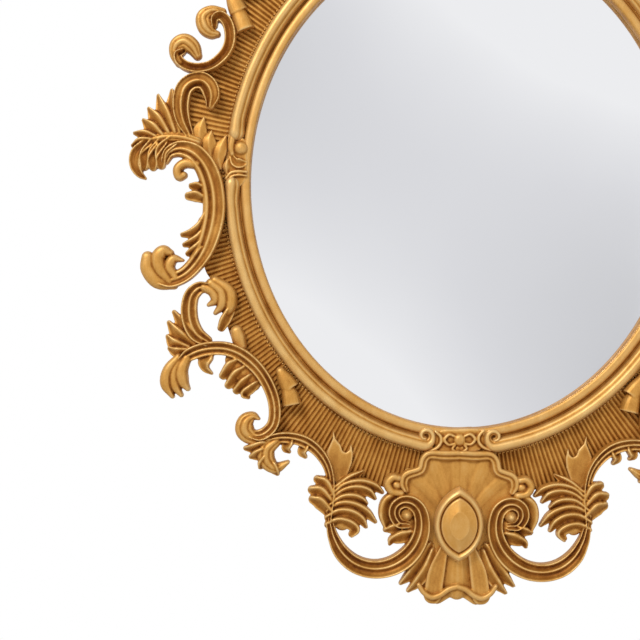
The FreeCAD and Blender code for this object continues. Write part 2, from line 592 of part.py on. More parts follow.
def pointed_oval(centre, half_width, half_height, h):
    """A pointed oval of two arcs at the height h."""
    top = centre + Vector(0, 0, half_height)
    foot = centre - Vector(0, 0, half_height)
    left = Part.Arc(foot, centre - Vector(half_width, 0, 0), top)
    right = Part.Arc(top, centre + Vector(half_width, 0, 0), foot)
    wire = Part.Wire([left.toShape(), right.toShape()])
    wire.translate(FRONT * h)
    return wire


def boss(crest=False):
    """The pointed oval boss on the cartouche: a sloping rim with a cabochon on it."""
    centre = place(BOSS_PIXELS, crest)
    centre.x = 0
    half_width = BOSS_PIXELS[2] * CARVING_SCALE
    half_height = BOSS_PIXELS[3] * CARVING_SCALE
    top = PLATE_FRONT + BOSS_HEIGHT

    def ring_at(share, h):
        return pointed_oval(centre, half_width * share, half_height * share, h)

    rim = Part.makeLoft([ring_at(1, PLATE_FRONT), ring_at(BOSS_TABLE_SHARE, top)], True, True)
    stone_foot = ring_at(CABOCHON_SHARE, top)
    stone_table = ring_at(CABOCHON_TOP_SHARE, top + CABOCHON_HEIGHT)
    stone = Part.makeLoft([stone_foot, stone_table], True, True)
    return biggest(rim.fuse(stone))


def volute(crest=False):
    """The great scroll beside the boss, with its round eye."""
    scroll = carving(VOLUTE_BAND_PIXELS, VOLUTE_LOBES_PIXELS, crest)
    eye_radius = VOLUTE_EYE_PIXELS[2] * CARVING_SCALE
    low = GROUND_FRONT + EYE_LIFT
    return biggest(scroll.fuse(disc(place(VOLUTE_EYE_PIXELS, crest), eye_radius, low, low + EYE_HEIGHT)))


def screw(spot, head_seat):
    """A pan-head screw driven into the back of the frame, its head on the height head_seat."""
    shank = disc(spot, SCREW_RADIUS, head_seat - SCREW_HEAD_HEIGHT / 2, head_seat + SCREW_LENGTH)
    head = disc(spot, SCREW_HEAD_RADIUS, head_seat - SCREW_HEAD_HEIGHT, head_seat)
    wall_edges = [edge for edge in head.Edges if edge.BoundBox.YMin > SCREW_HEAD_HEIGHT / 2 - head_seat]
    return head.makeFillet(SCREW_HEAD_HEIGHT / 2, wall_edges).fuse(shank)


def turn_button_spots():
    """Screw centres of the turn buttons, evenly round the glass."""
    outset = GLASS_OVERLAP + GLASS_CLEARANCE + TURN_BUTTON_OUTSET
    angles = [2 * math.pi * (number + 1 / 2) / TURN_BUTTON_COUNT for number in range(TURN_BUTTON_COUNT)]
    return [oval_point(angle, outset) for angle in angles]


def turn_button(spot):
    """A flat turn button with round ends that points at the oval's middle, with its screw at one end."""
    half = TURN_BUTTON_WIDTH / 2
    reach = TURN_BUTTON_LENGTH - TURN_BUTTON_WIDTH
    high = FRAME_BACK - TURN_BUTTON_LIFT
    low = high - TURN_BUTTON_THICKNESS
    bar = Part.makeBox(TURN_BUTTON_WIDTH, TURN_BUTTON_THICKNESS, reach, Vector(-half, -high, 0))
    ends = [disc(Vector(), half, low, high), disc(Vector(0, 0, reach), half, low, high)]
    hole = disc(Vector(), SCREW_RADIUS + SCREW_CLEARANCE, low - OVERRUN, high + OVERRUN)
    button = biggest(bar.multiFuse(ends).removeSplitter().cut(hole))
    button.Placement = Placement(spot, facing(-spot))
    return button


def hanger_spot():
    """Where the left hanger's ring pivots, in the plane y = 0."""
    return oval_point(math.pi - math.radians(HANGER_DEGREES), FITTING_OUTSET)


def strap_screw_spots():
    """The two screws of the left hanger strap."""
    drops = (STRAP_SCREW_FIRST, STRAP_SCREW_FIRST + STRAP_SCREW_PITCH)
    return [hanger_spot() - Vector(0, 0, drop) for drop in drops]


def hanger_strap():
    """A steel strap folded round the bar of its ring: a profile pushed sideways, with two screw holes."""
    inner = RING_WIRE_RADIUS + RING_CLEARANCE
    outer = inner + STRAP_THICKNESS
    axis = FRAME_BACK - outer
    pivot = hanger_spot() - SIDEWAYS * (STRAP_WIDTH / 2)

    def spot(up, h):
        return pivot + Vector(0, -h, up)

    def bend(radius):
        """The corner points of the strap's fold at a radius: end, lower quarter, bottom, front and top."""
        diagonal = radius * DIAGONAL_SHARE
        return (spot(-radius, axis), spot(-diagonal, axis - diagonal), spot(0, axis - radius),
                spot(radius, axis), spot(0, axis + radius))

    out_end, out_quarter, out_low, out_far, out_top = bend(outer)
    in_end, in_quarter, in_low, in_far, in_top = bend(inner)
    foot_out = spot(-STRAP_LENGTH, FRAME_BACK)
    foot_in = spot(-STRAP_LENGTH, axis + inner)
    edges = [Part.LineSegment(foot_out, out_top), Part.Arc(out_top, out_far, out_low),
             Part.Arc(out_low, out_quarter, out_end), Part.LineSegment(out_end, in_end),
             Part.Arc(in_end, in_quarter, in_low), Part.Arc(in_low, in_far, in_top),
             Part.LineSegment(in_top, foot_in), Part.LineSegment(foot_in, foot_out)]
    strap = Part.Face(Part.Wire([edge.toShape() for edge in edges])).extrude(SIDEWAYS * STRAP_WIDTH)
    holes = [disc(hole, SCREW_RADIUS + SCREW_CLEARANCE, 0, FRAME_BACK + OVERRUN)
             for hole in strap_screw_spots()]
    return biggest(strap.cut(Part.makeCompound(holes)))


def hanger_ring():
    """A D-shaped wire ring that hangs from its strap: a bar, two arms and a half-round bow."""
    axis = FRAME_BACK - RING_WIRE_RADIUS - RING_CLEARANCE - STRAP_THICKNESS
    half = RING_WIDTH / 2
    corner = half - RING_CORNER
    diagonal = RING_CORNER * DIAGONAL_SHARE

    def spot(side, up):
        return hanger_spot() + Vector(side, -axis, up)

    edges = [Part.LineSegment(spot(-corner, 0), spot(corner, 0)),
             Part.Arc(spot(corner, 0), spot(corner + diagonal, diagonal - RING_CORNER),
                      spot(half, -RING_CORNER)),
             Part.LineSegment(spot(half, -RING_CORNER), spot(half, -RING_ARM)),
             Part.Arc(spot(half, -RING_ARM), spot(0, -RING_ARM - half), spot(-half, -RING_ARM)),
             Part.LineSegment(spot(-half, -RING_ARM), spot(-half, -RING_CORNER)),
             Part.Arc(spot(-half, -RING_CORNER), spot(-corner - diagonal, diagonal - RING_CORNER),
                      spot(-corner, 0))]
    path = Part.Wire([edge.toShape() for edge in edges])
    wire = Part.Wire(Part.Circle(spot(-corner, 0), SIDEWAYS, RING_WIRE_RADIUS).toShape())
    return Part.Solid(path.makePipeShell([wire], True, False))


def bumper():
    """The left soft pad that keeps the foot of the frame off the wall."""
    centre = oval_point(math.pi + math.radians(BUMPER_DEGREES), FITTING_OUTSET)
    pad = disc(centre, BUMPER_RADIUS, 0, FRAME_BACK)
    wall_edges = [edge for edge in pad.Edges if edge.BoundBox.YMin > -BUMPER_ROUND]
    return pad.makeFillet(BUMPER_ROUND, wall_edges)


def dowel_spots(name, crest=False):
    """The places of one carving's dowels."""
    return [place(pixel, crest) for pixel in DOWEL_PIXELS[name]]


def dowel(spot, joint, clearance=0):
    """A dowel across the joint at a height, or its hole with some clearance."""
    reach = DOWEL_LENGTH / 2 + clearance
    return disc(spot, DOWEL_RADIUS + clearance, joint - reach, joint + reach)


def left_carvings():
    """The carvings of the left side, each trimmed to the ones that it meets, and the two cartouches."""
    rim = rim_space()
    left = {}
    left["side_scroll"] = scribed(carving(SIDE_BAND_PIXELS, SIDE_LOBES_PIXELS), rim)
    left["acanthus"] = scribed(carving(ACANTHUS_BAND_PIXELS, ACANTHUS_LOBES_PIXELS), left["side_scroll"])
    left["upper_scroll"] = scribed(carving(UPPER_BAND_PIXELS, UPPER_LOBES_PIXELS), left["acanthus"])
    left["link_scroll"] = scribed(carving(LINK_BAND_PIXELS, LINK_LOBES_PIXELS), left["side_scroll"])
    plates = {}
    for crest, plate, lower, corner, roll, above in (
            (False, "foot_cartouche", "lower_scroll", "corner_scroll", "volute", "link_scroll"),
            (True, "crest_cartouche", "crest_scroll", "crest_corner", "crest_volute", "upper_scroll")):
        plates[plate] = scribed(cartouche(crest), rim)
        left[roll] = scribed(volute(crest), plates[plate])
        left[lower] = scribed(carving(LOWER_BAND_PIXELS, LOWER_LOBES_PIXELS, crest), left[above])
        left[corner] = scribed(carving(CORNER_BAND_PIXELS, CORNER_LOBES_PIXELS, crest), left[lower],
                               left[roll], plates[plate])
    return left, plates


def left_leaves(left):
    """The small leaves, bells and buds of the left side, trimmed to one another and to the carvings."""
    kinds = {
        "flame_leaves": [flame_leaf(), flame_leaf(crest=True)],
        "side_husks": leaves(HUSK_LOBES_PIXELS, HUSK_HEIGHT, ROUND_PROFILE_SHARES)
        + leaves(HUSK_LOBES_PIXELS, HUSK_HEIGHT, ROUND_PROFILE_SHARES, crest=True),
        "shoulder_husks": leaves(SHOULDER_HUSK_LOBES_PIXELS, HUSK_HEIGHT, ROUND_PROFILE_SHARES),
        "side_buds": leaves(BUD_LOBES_PIXELS, FLAME_HEIGHT, LOBE_PROFILE_SHARES),
        "link_buds": leaves(LINK_BUD_LOBES_PIXELS, HUSK_HEIGHT, ROUND_PROFILE_SHARES),
    }
    placed = [rim_space()]
    for pieces in kinds.values():
        for number, piece in enumerate(pieces):
            pieces[number] = scribed(piece, *left.values(), *placed)
            placed.append(pieces[number])
    return kinds


def pin(left, plates, grounds):
    """Drill the carvings, cartouches and grounds for their dowels, and give the left side's dowels."""
    joints = []
    for name in DOWEL_PIXELS:
        joint = PLATE_FRONT if name == "volute" else GROUND_FRONT
        joints += [(spot, joint) for spot in dowel_spots(name)]
        if name in TWINNED_AT_THE_CREST:
            joints += [(spot, joint) for spot in dowel_spots(name, crest=True)]
    for pixel in PLATE_DOWEL_PIXELS:
        joints += [(place(pixel), GROUND_FRONT), (place(pixel, crest=True), GROUND_FRONT)]
    holes = [dowel(spot, joint, DOWEL_CLEARANCE) for spot, joint in joints]
    for pieces in (left, grounds):
        for name in pieces:
            pieces[name] = drilled(pieces[name], holes)
    for name in plates:
        plates[name] = drilled(plates[name], holes + [mirrored(hole) for hole in holes])
    return [dowel(spot, joint) for spot, joint in joints]


def build():
    """Every node of the mirror, by name."""
    left, plates = left_carvings()
    nodes = {}
    for name, pieces in left_leaves(left).items():
        nodes[name] = Part.makeCompound(pieces + [mirrored(piece) for piece in pieces])

    upper_ground, lower_ground = ribbed_grounds()
    grounds = {"upper_ground": upper_ground, "lower_ground": lower_ground}
    dowels = pin(left, plates, grounds)
    nodes.update(plates)
    nodes["foot_boss"] = boss()
    nodes["crest_boss"] = boss(crest=True)
    nodes["carving_dowels"] = Part.makeCompound(dowels + [mirrored(peg) for peg in dowels])

    mouldings = {"upper_moulding": moulding(TOP_ANGLE, FOOT_FLOWER_WIDTH, SIDE_ANGLE, SIDE_FLOWER_WIDTH),
                 "lower_moulding": moulding(SIDE_ANGLE, SIDE_FLOWER_WIDTH, FOOT_ANGLE, FOOT_FLOWER_WIDTH)}
    fittings = {"hanger_strap": hanger_strap(), "hanger_ring": hanger_ring()}
    for pieces in (left, grounds, mouldings, fittings):
        for name, piece in pieces.items():
            nodes[name + "_left"] = piece
            nodes[name + "_right"] = mirrored(piece)

    side_flower = rim_flower(SIDE_ANGLE, SIDE_FLOWER_WIDTH)
    nodes["side_flowers"] = Part.makeCompound([side_flower, mirrored(side_flower)])
    nodes["foot_flower"] = rim_flower(FOOT_ANGLE, FOOT_FLOWER_WIDTH)
    nodes["crest_flower"] = rim_flower(TOP_ANGLE, FOOT_FLOWER_WIDTH)

    strap_spots = strap_screw_spots()
    strap_spots += [Vector(-spot.x, 0, spot.z) for spot in strap_spots]
    button_spots = turn_button_spots()
    nodes["back_frame"] = back_frame(strap_spots + button_spots)
    nodes["sight_rim"] = sight_rim()
    cushion_inner = GLASS_OVERLAP - CUSHION_WIDTH
    nodes["glass_cushion"] = oval_ring(cushion_inner, GLASS_OVERLAP, GLASS_FRONT, FRAME_FRONT)
    nodes["mirror_glass"] = oval_plate(GLASS_OVERLAP, GLASS_BACK, GLASS_FRONT)
    nodes["backing_board"] = oval_plate(GLASS_OVERLAP, FRAME_BACK, GLASS_BACK)
    for number, spot in enumerate(button_spots, start=1):
        nodes[f"turn_button_{number}"] = turn_button(spot)
    button_seat = FRAME_BACK - TURN_BUTTON_LIFT - TURN_BUTTON_THICKNESS
    nodes["turn_button_screws"] = Part.makeCompound([screw(spot, button_seat) for spot in button_spots])
    strap_seat = FRAME_BACK - STRAP_THICKNESS
    nodes["hanger_screws"] = Part.makeCompound([screw(spot, strap_seat) for spot in strap_spots])
    pad = bumper()
    nodes["wall_bumpers"] = Part.makeCompound([pad, mirrored(pad)])
    return nodes


def main():
    """Write one STEP file for each node."""
    os.makedirs("parts", exist_ok=True)
    for name, shape in build().items():
        shape.exportStep("parts/" + name + ".step")


main()
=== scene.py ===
import json
import math

import bmesh
import bpy
from mathutils import Matrix, Vector


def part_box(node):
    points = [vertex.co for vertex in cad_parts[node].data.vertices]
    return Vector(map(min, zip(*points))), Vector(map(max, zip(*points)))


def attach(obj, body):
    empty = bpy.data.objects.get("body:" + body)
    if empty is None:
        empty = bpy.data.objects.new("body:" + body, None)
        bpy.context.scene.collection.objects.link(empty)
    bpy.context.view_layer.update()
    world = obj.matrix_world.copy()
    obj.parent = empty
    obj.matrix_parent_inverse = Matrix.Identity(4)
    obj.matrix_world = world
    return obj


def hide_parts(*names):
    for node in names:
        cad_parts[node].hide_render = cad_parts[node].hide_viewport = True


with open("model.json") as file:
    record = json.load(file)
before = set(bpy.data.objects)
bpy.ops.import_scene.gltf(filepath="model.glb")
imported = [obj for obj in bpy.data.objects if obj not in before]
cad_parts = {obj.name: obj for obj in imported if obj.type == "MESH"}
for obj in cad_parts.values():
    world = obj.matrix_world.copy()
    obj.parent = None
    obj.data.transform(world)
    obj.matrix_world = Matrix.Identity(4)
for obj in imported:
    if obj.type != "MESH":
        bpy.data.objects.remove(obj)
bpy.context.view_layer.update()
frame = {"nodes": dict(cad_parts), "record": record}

# A carved and gilded oval wall mirror, in metres. The glass faces -Y, +Z is up, and the origin is the oval's
# centre on the wall plane. A height is a distance from the wall, along -Y. Tables of strokes hold places read
# from a straight front view of 640 x 640 pixels, as (x, y, half width), and place() turns them into
# metres.


def front_of(node):
    """The height of a node's front."""
    return -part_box(node)[0].y


def back_of(node):
    """The height of a node's back."""
    return -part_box(node)[1].y


# Levels and sizes taken from the frame
GLASS_OVERLAP = 0.008
GLASS_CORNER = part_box("mirror_glass")[1]
SIGHT_HALF_WIDTH = GLASS_CORNER.x - GLASS_OVERLAP
SIGHT_HALF_HEIGHT = GLASS_CORNER.z - GLASS_OVERLAP
RIM_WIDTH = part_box("sight_rim")[1].x - SIGHT_HALF_WIDTH
RIM_BACK = back_of("sight_rim")
RIM_FRONT = front_of("sight_rim")
BED = back_of("lower_moulding_left")
GROUND = front_of("lower_ground_left")
PLATE = back_of("foot_boss")
BOSS_FRONT = front_of("foot_boss")
BAND_HEIGHT = front_of("side_scroll_left") - GROUND
MOULDING_HEIGHT = front_of("lower_moulding_left") - BED

# Carvings and leaves
LOBE_HEIGHT = 0.018
LOBE_LIFT = 0.0008
LOBE_STAGGER = 0.0012
LEAF_HEIGHT = 0.010
BELL_HEIGHT = 0.018
FLAME_HEIGHT = 0.007
VOLUTE_LIFT = 0.0008
EYE_HEIGHT = BAND_HEIGHT * 1.12
EAR_HEIGHT = LOBE_HEIGHT * 0.9

# Dowels that pin the carvings
DOWEL_REACH = 0.00675
DOWEL_RADIUS = 0.003
DOWEL_SOFTENING = 0.0006

# Shield and boss
FIELD_SINK = 0.004
BORDER_HEIGHT = 0.006
FIELD_SWELL_HEIGHT = 0.0025
SKIRT_HEIGHT = 0.0075
LIP_HEIGHT = 0.010
BOSS_CLEARANCE = 0.0001
BOSS_SHARP_ANGLE = math.radians(35)

# Rim, mouldings, flowers and beads
RIM_BAND_WIDTH = 0.013
RIM_SOFTENING = 0.0008
RIM_SHARP_ANGLE = math.radians(30)
QUIRK_SHARE = 1.06
QUIRK_RISE = 0.0012
MOULDING_HALF_WIDTH = 0.0098
SHOULDER_SHARE = 0.96
SIDE_GAP = 0.050
FOOT_GAP = 0.076
CURL_OUTSET = 0.0146
FLOWER_PLATE = RIM_FRONT - BED + 0.0012
FLOWER_PETAL = FLOWER_PLATE + 0.0042
FLOWER_BUTTON = FLOWER_PLATE + 0.0052
BEAD_RADIUS = 0.0016
BEAD_OUTSET = BEAD_RADIUS * 1.6
BEAD_COUNT = 372

# Softened edges of the nodes that stay as they are
SOFT_ANGLE = math.radians(40)
WELD_REACH = 0.00001
FITTING_SOFTENING = 0.0002
FITTINGS = ["turn_button_screws", "hanger_screws", "hanger_strap_left", "hanger_strap_right"]
FITTINGS += [f"turn_button_{number}" for number in range(1, 7)]
SOFTENED = {"back_frame": 0.0012, "backing_board": 0.0005, "wall_bumpers": 0.0006}
SOFTENED.update(dict.fromkeys(FITTINGS, FITTING_SOFTENING))

# How finely the shapes are drawn
STEPS_PER_SPAN = 5
END_TURNS = [math.radians(degrees) for degrees in (22, 44, 64, 80, 88)]
END_HEIGHT_SHARE = 0.62
RIM_STEPS = 288
SEAM_REACH = RIM_WIDTH / RIM_STEPS / 10
MOULDING_SPANS = 24
BOSS_SIDES = 24
DOWEL_SIDES = 16
DOME_SIDES = 32
DOME_RINGS = 20
BEAD_SIDES = 8
BEAD_RINGS = 5
SOFTENING_STEPS = 2
BUTTON_HALF_LENGTH_PIXELS = 0.2
CARVING_VOXEL = 0.0011
CREST_VOXEL = 0.0014

# Rubbing of a carved surface, and its relief against a much rubbed copy: the name of the attribute, and the
# height that fills its range
RUB_STRENGTH = 0.5
RUB_PASSES = 2
WORN_PASSES = 30
RELIEF = "relief"
RELIEF_REACH = 0.0008

# Stage: the floor, the light of the surround, lamps as (name, place, size, power), and the camera
FLOOR_LEVEL = -1.3
FLOOR_HALF_SIZE = 2.5
SURROUND_LIGHT = 0.42
LAMPS = [("key", (-2, -3.4, 2.7), 1.6, 168), ("fill", (1.6, -2.4, -0.4), 1.6, 8)]
CAMERA_PLACE = Vector((-0.2003, -2.0, -0.1988))
VIEW_HALF_WIDTH = 0.448
VIEW_HEIGHT = 0.045

# How the front view is read
CENTRE_X, CENTRE_Y = 466.0, 181.0
SIGHT_HALF_PIXELS = (216.6, 248.7)
RIM_PIXELS = 26.0
CARVING_SCALE = 0.214 / 152.3
TILT = math.radians(1.2)
CREST_SPREAD_SHARE = 0.94

# Bearings on the oval, and the way that the mirror faces
SIDE_ANGLE = math.radians(176)
TOP_ANGLE = math.pi / 2
FOOT_ANGLE = 3 * math.pi / 2
FRONT = Vector((0, -1, 0))


def both_sides(half):
    """A profile that is alike on both sides, from its left half, which ends on the middle line."""
    return half + [(-share, rise) for share, rise in half[-2::-1]]


def turned(profile):
    """A profile with its sides changed over."""
    return [(-share, rise) for share, rise in reversed(profile)]


# Profiles across a stroke, as shares of its half width and height. The first side lies to the right of its
# travel.
RIBBED_BAND = [(-1, 0), (-1, 0.45), (-0.92, 0.62), (-0.78, 0.74), (-0.62, 0.8), (-0.48, 0.75),
               (-0.38, 0.62), (-0.26, 0.61), (-0.14, 0.74), (-0.02, 0.84), (0.1, 0.83), (0.2, 0.77),
               (0.36, 0.76), (0.56, 0.8), (0.7, 0.88), (0.79, 0.97), (0.88, 1), (0.96, 0.93), (1, 0.76),
               (1, 0)]
CURLED_BAND = [(-1, 0), (-1, 0.5), (-0.9, 0.68), (-0.78, 0.68), (-0.63, 0.5), (-0.46, 0.45), (-0.3, 0.55),
               (-0.15, 0.78), (-0.05, 0.88), (0.05, 0.86), (0.2, 0.8), (0.45, 0.83), (0.64, 0.85),
               (0.73, 0.84), (0.8, 0.91), (0.88, 1), (0.96, 0.94), (1, 0.72), (1, 0)]
TWO_COVES = [(-1, 0), (-1, 0.5), (-0.92, 0.63), (-0.8, 0.67), (-0.65, 0.61), (-0.45, 0.56), (-0.26, 0.62),
             (-0.12, 0.75), (0, 0.8), (0.11, 0.76), (0.26, 0.69), (0.45, 0.69), (0.6, 0.78), (0.73, 0.94),
             (0.83, 1), (0.94, 0.95), (1, 0.76), (1, 0)]
ONE_COVE = [(-1, 0), (-1, 0.6), (-0.93, 0.78), (-0.82, 0.84), (-0.69, 0.78), (-0.54, 0.64), (-0.3, 0.53),
            (0, 0.5), (0.28, 0.56), (0.52, 0.73), (0.68, 0.93), (0.81, 1), (0.93, 0.94), (1, 0.74), (1, 0)]
RIDGED_BAND = [(-1, 0), (-1, 0.74), (-0.94, 0.94), (-0.84, 1), (-0.74, 0.94), (-0.62, 0.78), (-0.42, 0.67),
               (-0.24, 0.65), (-0.1, 0.7), (0.02, 0.82), (0.1, 0.85), (0.18, 0.82), (0.3, 0.64),
               (0.48, 0.56), (0.64, 0.61), (0.77, 0.76), (0.86, 0.84), (0.94, 0.79), (1, 0.6), (1, 0)]
CREST = [(-1, 0), (-1, 0.5), (-0.86, 0.53), (-0.6, 0.5), (-0.3, 0.55), (0, 0.68), (0.3, 0.87), (0.5, 0.97),
         (0.66, 1), (0.82, 0.95), (0.94, 0.8), (1, 0.56), (1, 0)]
SCOOP = both_sides([(-1, 0), (-1, 0.74), (-0.93, 0.92), (-0.82, 1), (-0.68, 0.92), (-0.42, 0.74),
                    (0, 0.66)])
VEINED = both_sides([(-1, 0), (-1, 0.46), (-0.92, 0.68), (-0.74, 0.85), (-0.54, 0.92), (-0.42, 0.86),
                     (-0.3, 0.93), (-0.12, 1), (0, 1)])
ROLL = both_sides([(-1, 0), (-1, 0.4), (-0.93, 0.64), (-0.76, 0.84), (-0.5, 0.95), (-0.22, 0.99), (0, 1)])
PETAL = both_sides([(-1, 0), (-1, 0.6), (-0.94, 0.72), (-0.5, 0.87), (0, 1)])
TORUS = [(-1, 0), (-1, 0.35), (-0.94, 0.58), (-0.8, 0.8), (-0.55, 0.95), (-0.25, 1), (0.05, 0.97),
         (0.28, 0.85), (0.4, 0.7), (0.5, 0.66), (0.64, 0.65), (0.78, 0.55), (0.92, 0.34), (1, 0.18), (1, 0)]
WEB = both_sides([(-1, 0), (-1, 0.44), (-0.8, 0.56), (0, 0.62)])
SWELL = both_sides([(-1, 0), (-0.75, 0.3), (-0.4, 0.78), (0, 1)])
SLAB = both_sides([(-1, 0), (-1, 0.8), (-0.96, 0.95), (-0.88, 1), (0, 1)])
STEPPED = [(-1, 0), (-1, 0.7), (-0.9, 0.9), (-0.7, 1), (-0.36, 1), (-0.2, 0.86), (-0.1, 0.62), (0.06, 0.56),
           (0.24, 0.64), (0.4, 0.66), (0.52, 0.56), (0.66, 0.3), (0.8, 0.12), (1, 0), (1, 0)]

# Carved strokes of the left half
UPPER_BAND = [(214, 24, 3), (214.5, 18, 4), (220, 15.5, 5), (226, 20.5, 5.4), (229.3, 30, 5.7),
              (229.3, 41, 5.7), (225.5, 51, 5.6), (218, 59.5, 5.4), (208.5, 65.5, 5.2), (197, 67.5, 5.2),
              (186.5, 65.5, 5), (179.5, 60.5, 4.8), (177.5, 54, 4), (182, 51, 3)]
UPPER_LOBES = [
    (VEINED, [(222, 10, 4), (211, 9.5, 6), (203, 15.5, 7.8), (204.5, 25.5, 8), (210.5, 31.5, 6),
              (216.5, 32.5, 3.5)]),
    (VEINED, [(178, 62, 4), (173.5, 53, 5), (176, 44, 7.5), (184, 40.5, 8.5), (192, 46, 8),
              (196.5, 54, 5)]),
]

ACANTHUS_BAND = [(189, 134, 4), (183, 121, 7), (180.5, 109, 8), (181, 97, 8.4), (184.5, 87, 8.2),
                 (192.5, 80.8, 8), (202, 80.5, 8.6), (208.5, 86.5, 9.2), (211, 95.5, 8.4),
                 (209.5, 104, 4.6)]
ACANTHUS_LOBES = [
    (CREST, [(175, 131, 6), (169.5, 112, 6), (170.8, 88.5, 1.8)]),
    (CREST, [(170, 131, 6.5), (162.5, 112, 7.6), (157, 94, 1.8)]),
    (CREST, [(164, 133, 6.5), (154.5, 118, 7.2), (147.4, 107, 1.8)]),
    (CREST, [(158, 135, 6), (149.5, 126.5, 6.8), (142.2, 119, 2)]),
    (CREST, [(153, 138, 5), (143, 134, 5.4), (133, 132.2, 1.6)]),
    (CREST, [(148, 141, 4.5), (139, 141.3, 4.6), (131.2, 145, 1.6)]),
    (SCOOP, [(147, 142, 5), (136, 152, 6), (134, 164, 5.4), (138.4, 173, 4), (144, 177.5, 1.6)]),
    (SCOOP, [(153, 142, 5), (144.5, 154, 5.6), (143.5, 166, 4)]),
    (SCOOP, [(162, 141, 5.5), (152.8, 153.5, 6), (152, 166, 4.4)]),
    (SCOOP, [(173, 140, 6), (161.5, 150, 6.6), (160.2, 164, 4.8)]),
    (VEINED, [(196, 141, 5.5), (182, 137, 6), (167, 136, 5.6), (152, 138.5, 4.6), (140, 141.5, 3)]),
    (WEB, [(172, 117, 6), (164, 121, 9), (156, 127.5, 8), (148, 135, 5)]),
    (WEB, [(140, 150, 6), (150, 152, 9), (161, 149, 7)]),
]

SIDE_BAND = [(164.5, 160, 4), (169, 152, 6), (180, 148.5, 8), (193, 153, 10), (203.5, 164.5, 11),
             (210, 180, 11.5), (213, 197, 11.5), (213, 214, 11.5), (209.5, 232, 11), (203.5, 249, 10),
             (195, 263, 8.5), (184, 274, 8), (171, 279.5, 8), (160, 279, 6)]
SIDE_LOBES = [
    (ROLL, [(196, 164, 4.5), (184.5, 162.5, 5), (177, 168, 5), (178, 176, 4.6), (183, 174.5, 3.8)]),
    (CREST, [(201, 188, 3.6), (196, 186, 4.8), (190.5, 185.5, 3.2)]),
    (CREST, [(201, 198, 4.4), (194.5, 195.5, 5.8), (187.5, 195.5, 4.2)]),
    (CREST, [(207, 212, 4), (201, 225, 5.5), (191.5, 232.5, 5), (181.5, 234.5, 2.6)]),
    (CREST, [(203, 231, 4), (198.5, 238, 5.5), (190.5, 242.5, 4.8), (183.5, 244.5, 2.6)]),
    (CREST, [(201.5, 242, 4), (197, 248, 5.5), (191, 251.5, 4.5), (187, 253.5, 2.8)]),
    (CREST, [(202, 249, 4), (197, 256, 4.6), (192.5, 260, 3)]),
    (WEB, [(203, 221, 6), (200, 236, 8.5), (199, 250, 6)]),
    (ROLL, [(173, 285.5, 4), (157, 281.5, 7.4), (147, 269, 7.6), (146.6, 257, 6.4)]),
    (ROLL, [(169, 281, 5), (159.5, 269, 7), (157, 257.5, 7.2), (162.5, 251, 6.6), (169.5, 252.5, 3.6)]),
    (ROLL, [(175, 278, 4.8), (168.5, 267.5, 5.6), (172.5, 258.8, 5), (182, 260, 1.6)]),
]

LINK_BAND = [(206, 341, 5.5), (196, 334, 7.6), (190, 322, 8), (188.5, 308, 8), (191, 295.5, 7.4),
             (198.5, 288, 6.4), (207, 287.5, 5)]
LINK_LOBES = [
    (ROLL, [(203, 287, 5), (212, 291.5, 5.6), (214.5, 300, 5), (207.5, 305, 2)]),
    (ROLL, [(210, 283, 5), (220.5, 292, 5.4), (221, 305, 5), (214.5, 313, 2.4)]),
    (ROLL, [(214, 280.5, 5), (228.5, 291, 6), (230, 305.5, 5.8), (224, 315.5, 3)]),
    (CREST, [(229, 312, 5), (224, 321, 5.6), (220.5, 328, 4)]),
    (CREST, [(198, 341, 5.5), (184, 327.5, 7), (173, 312, 2.4)]),
    (CREST, [(191, 345, 5.5), (176.5, 334, 7), (167.8, 322.5, 2.4)]),
    (CREST, [(186, 349, 5), (173, 344, 6.4), (166.5, 336.5, 2.4)]),
    (CREST, [(186, 352, 4.5), (175, 352, 5.4), (168.5, 348.5, 2.4)]),
    (WEB, [(189, 327, 6), (182, 337, 8), (180, 349, 6)]),
    (WEB, [(213, 290, 6), (221, 297, 8), (224, 307, 6)]),
]

LOWER_BAND = [(182, 360, 4.5), (189, 355, 6.5), (200, 350.5, 7), (212, 348.5, 7), (225, 349, 7),
              (238, 353.5, 7), (249.5, 361.5, 7), (259.5, 372, 6.6), (267.5, 385, 6.5), (272.8, 399, 6.3),
              (274.5, 413, 6.2), (272.5, 424.5, 6), (266.5, 432, 5.8), (259, 435.5, 5.4), (251, 434.5, 4)]
LOWER_LOBES = [
    (VEINED, [(264, 438, 4.5), (253, 438.5, 7.5), (244.5, 431.5, 9.6), (245.5, 422, 8.6), (252.5, 417, 5),
              (258.5, 419.5, 1.6)]),
    (ROLL, [(178, 357, 4), (167.5, 369.5, 5.4), (165, 384, 5.8), (171.5, 396.5, 2.6)]),
    (ROLL, [(181, 358, 4), (173.5, 372, 5), (174.5, 386, 5), (180.5, 395.5, 2.4)]),
    (ROLL, [(186, 358, 5), (181, 370, 6.4), (182, 381, 6.2), (187, 389, 2.8)]),
    (CREST, [(207, 357.5, 6), (203.5, 362.5, 6.6), (205, 369, 4.2), (211, 373.8, 1.6)]),
    (CREST, [(236, 362.5, 4.4), (230, 367, 6.4), (222.5, 376, 4.4)]),
    (CREST, [(243, 370, 4.4), (236.5, 375.5, 6.4), (228, 385.5, 4.4)]),
    (CREST, [(249.5, 378, 4.4), (244, 383.5, 6.2), (236, 391, 4.2)]),
    (CREST, [(255.5, 385, 4), (250, 389.5, 5), (244, 394.5, 4.6), (247.8, 398, 2)]),
    (WEB, [(231, 360.5, 7), (242, 372.5, 10), (252.5, 384.5, 7.5)]),
]

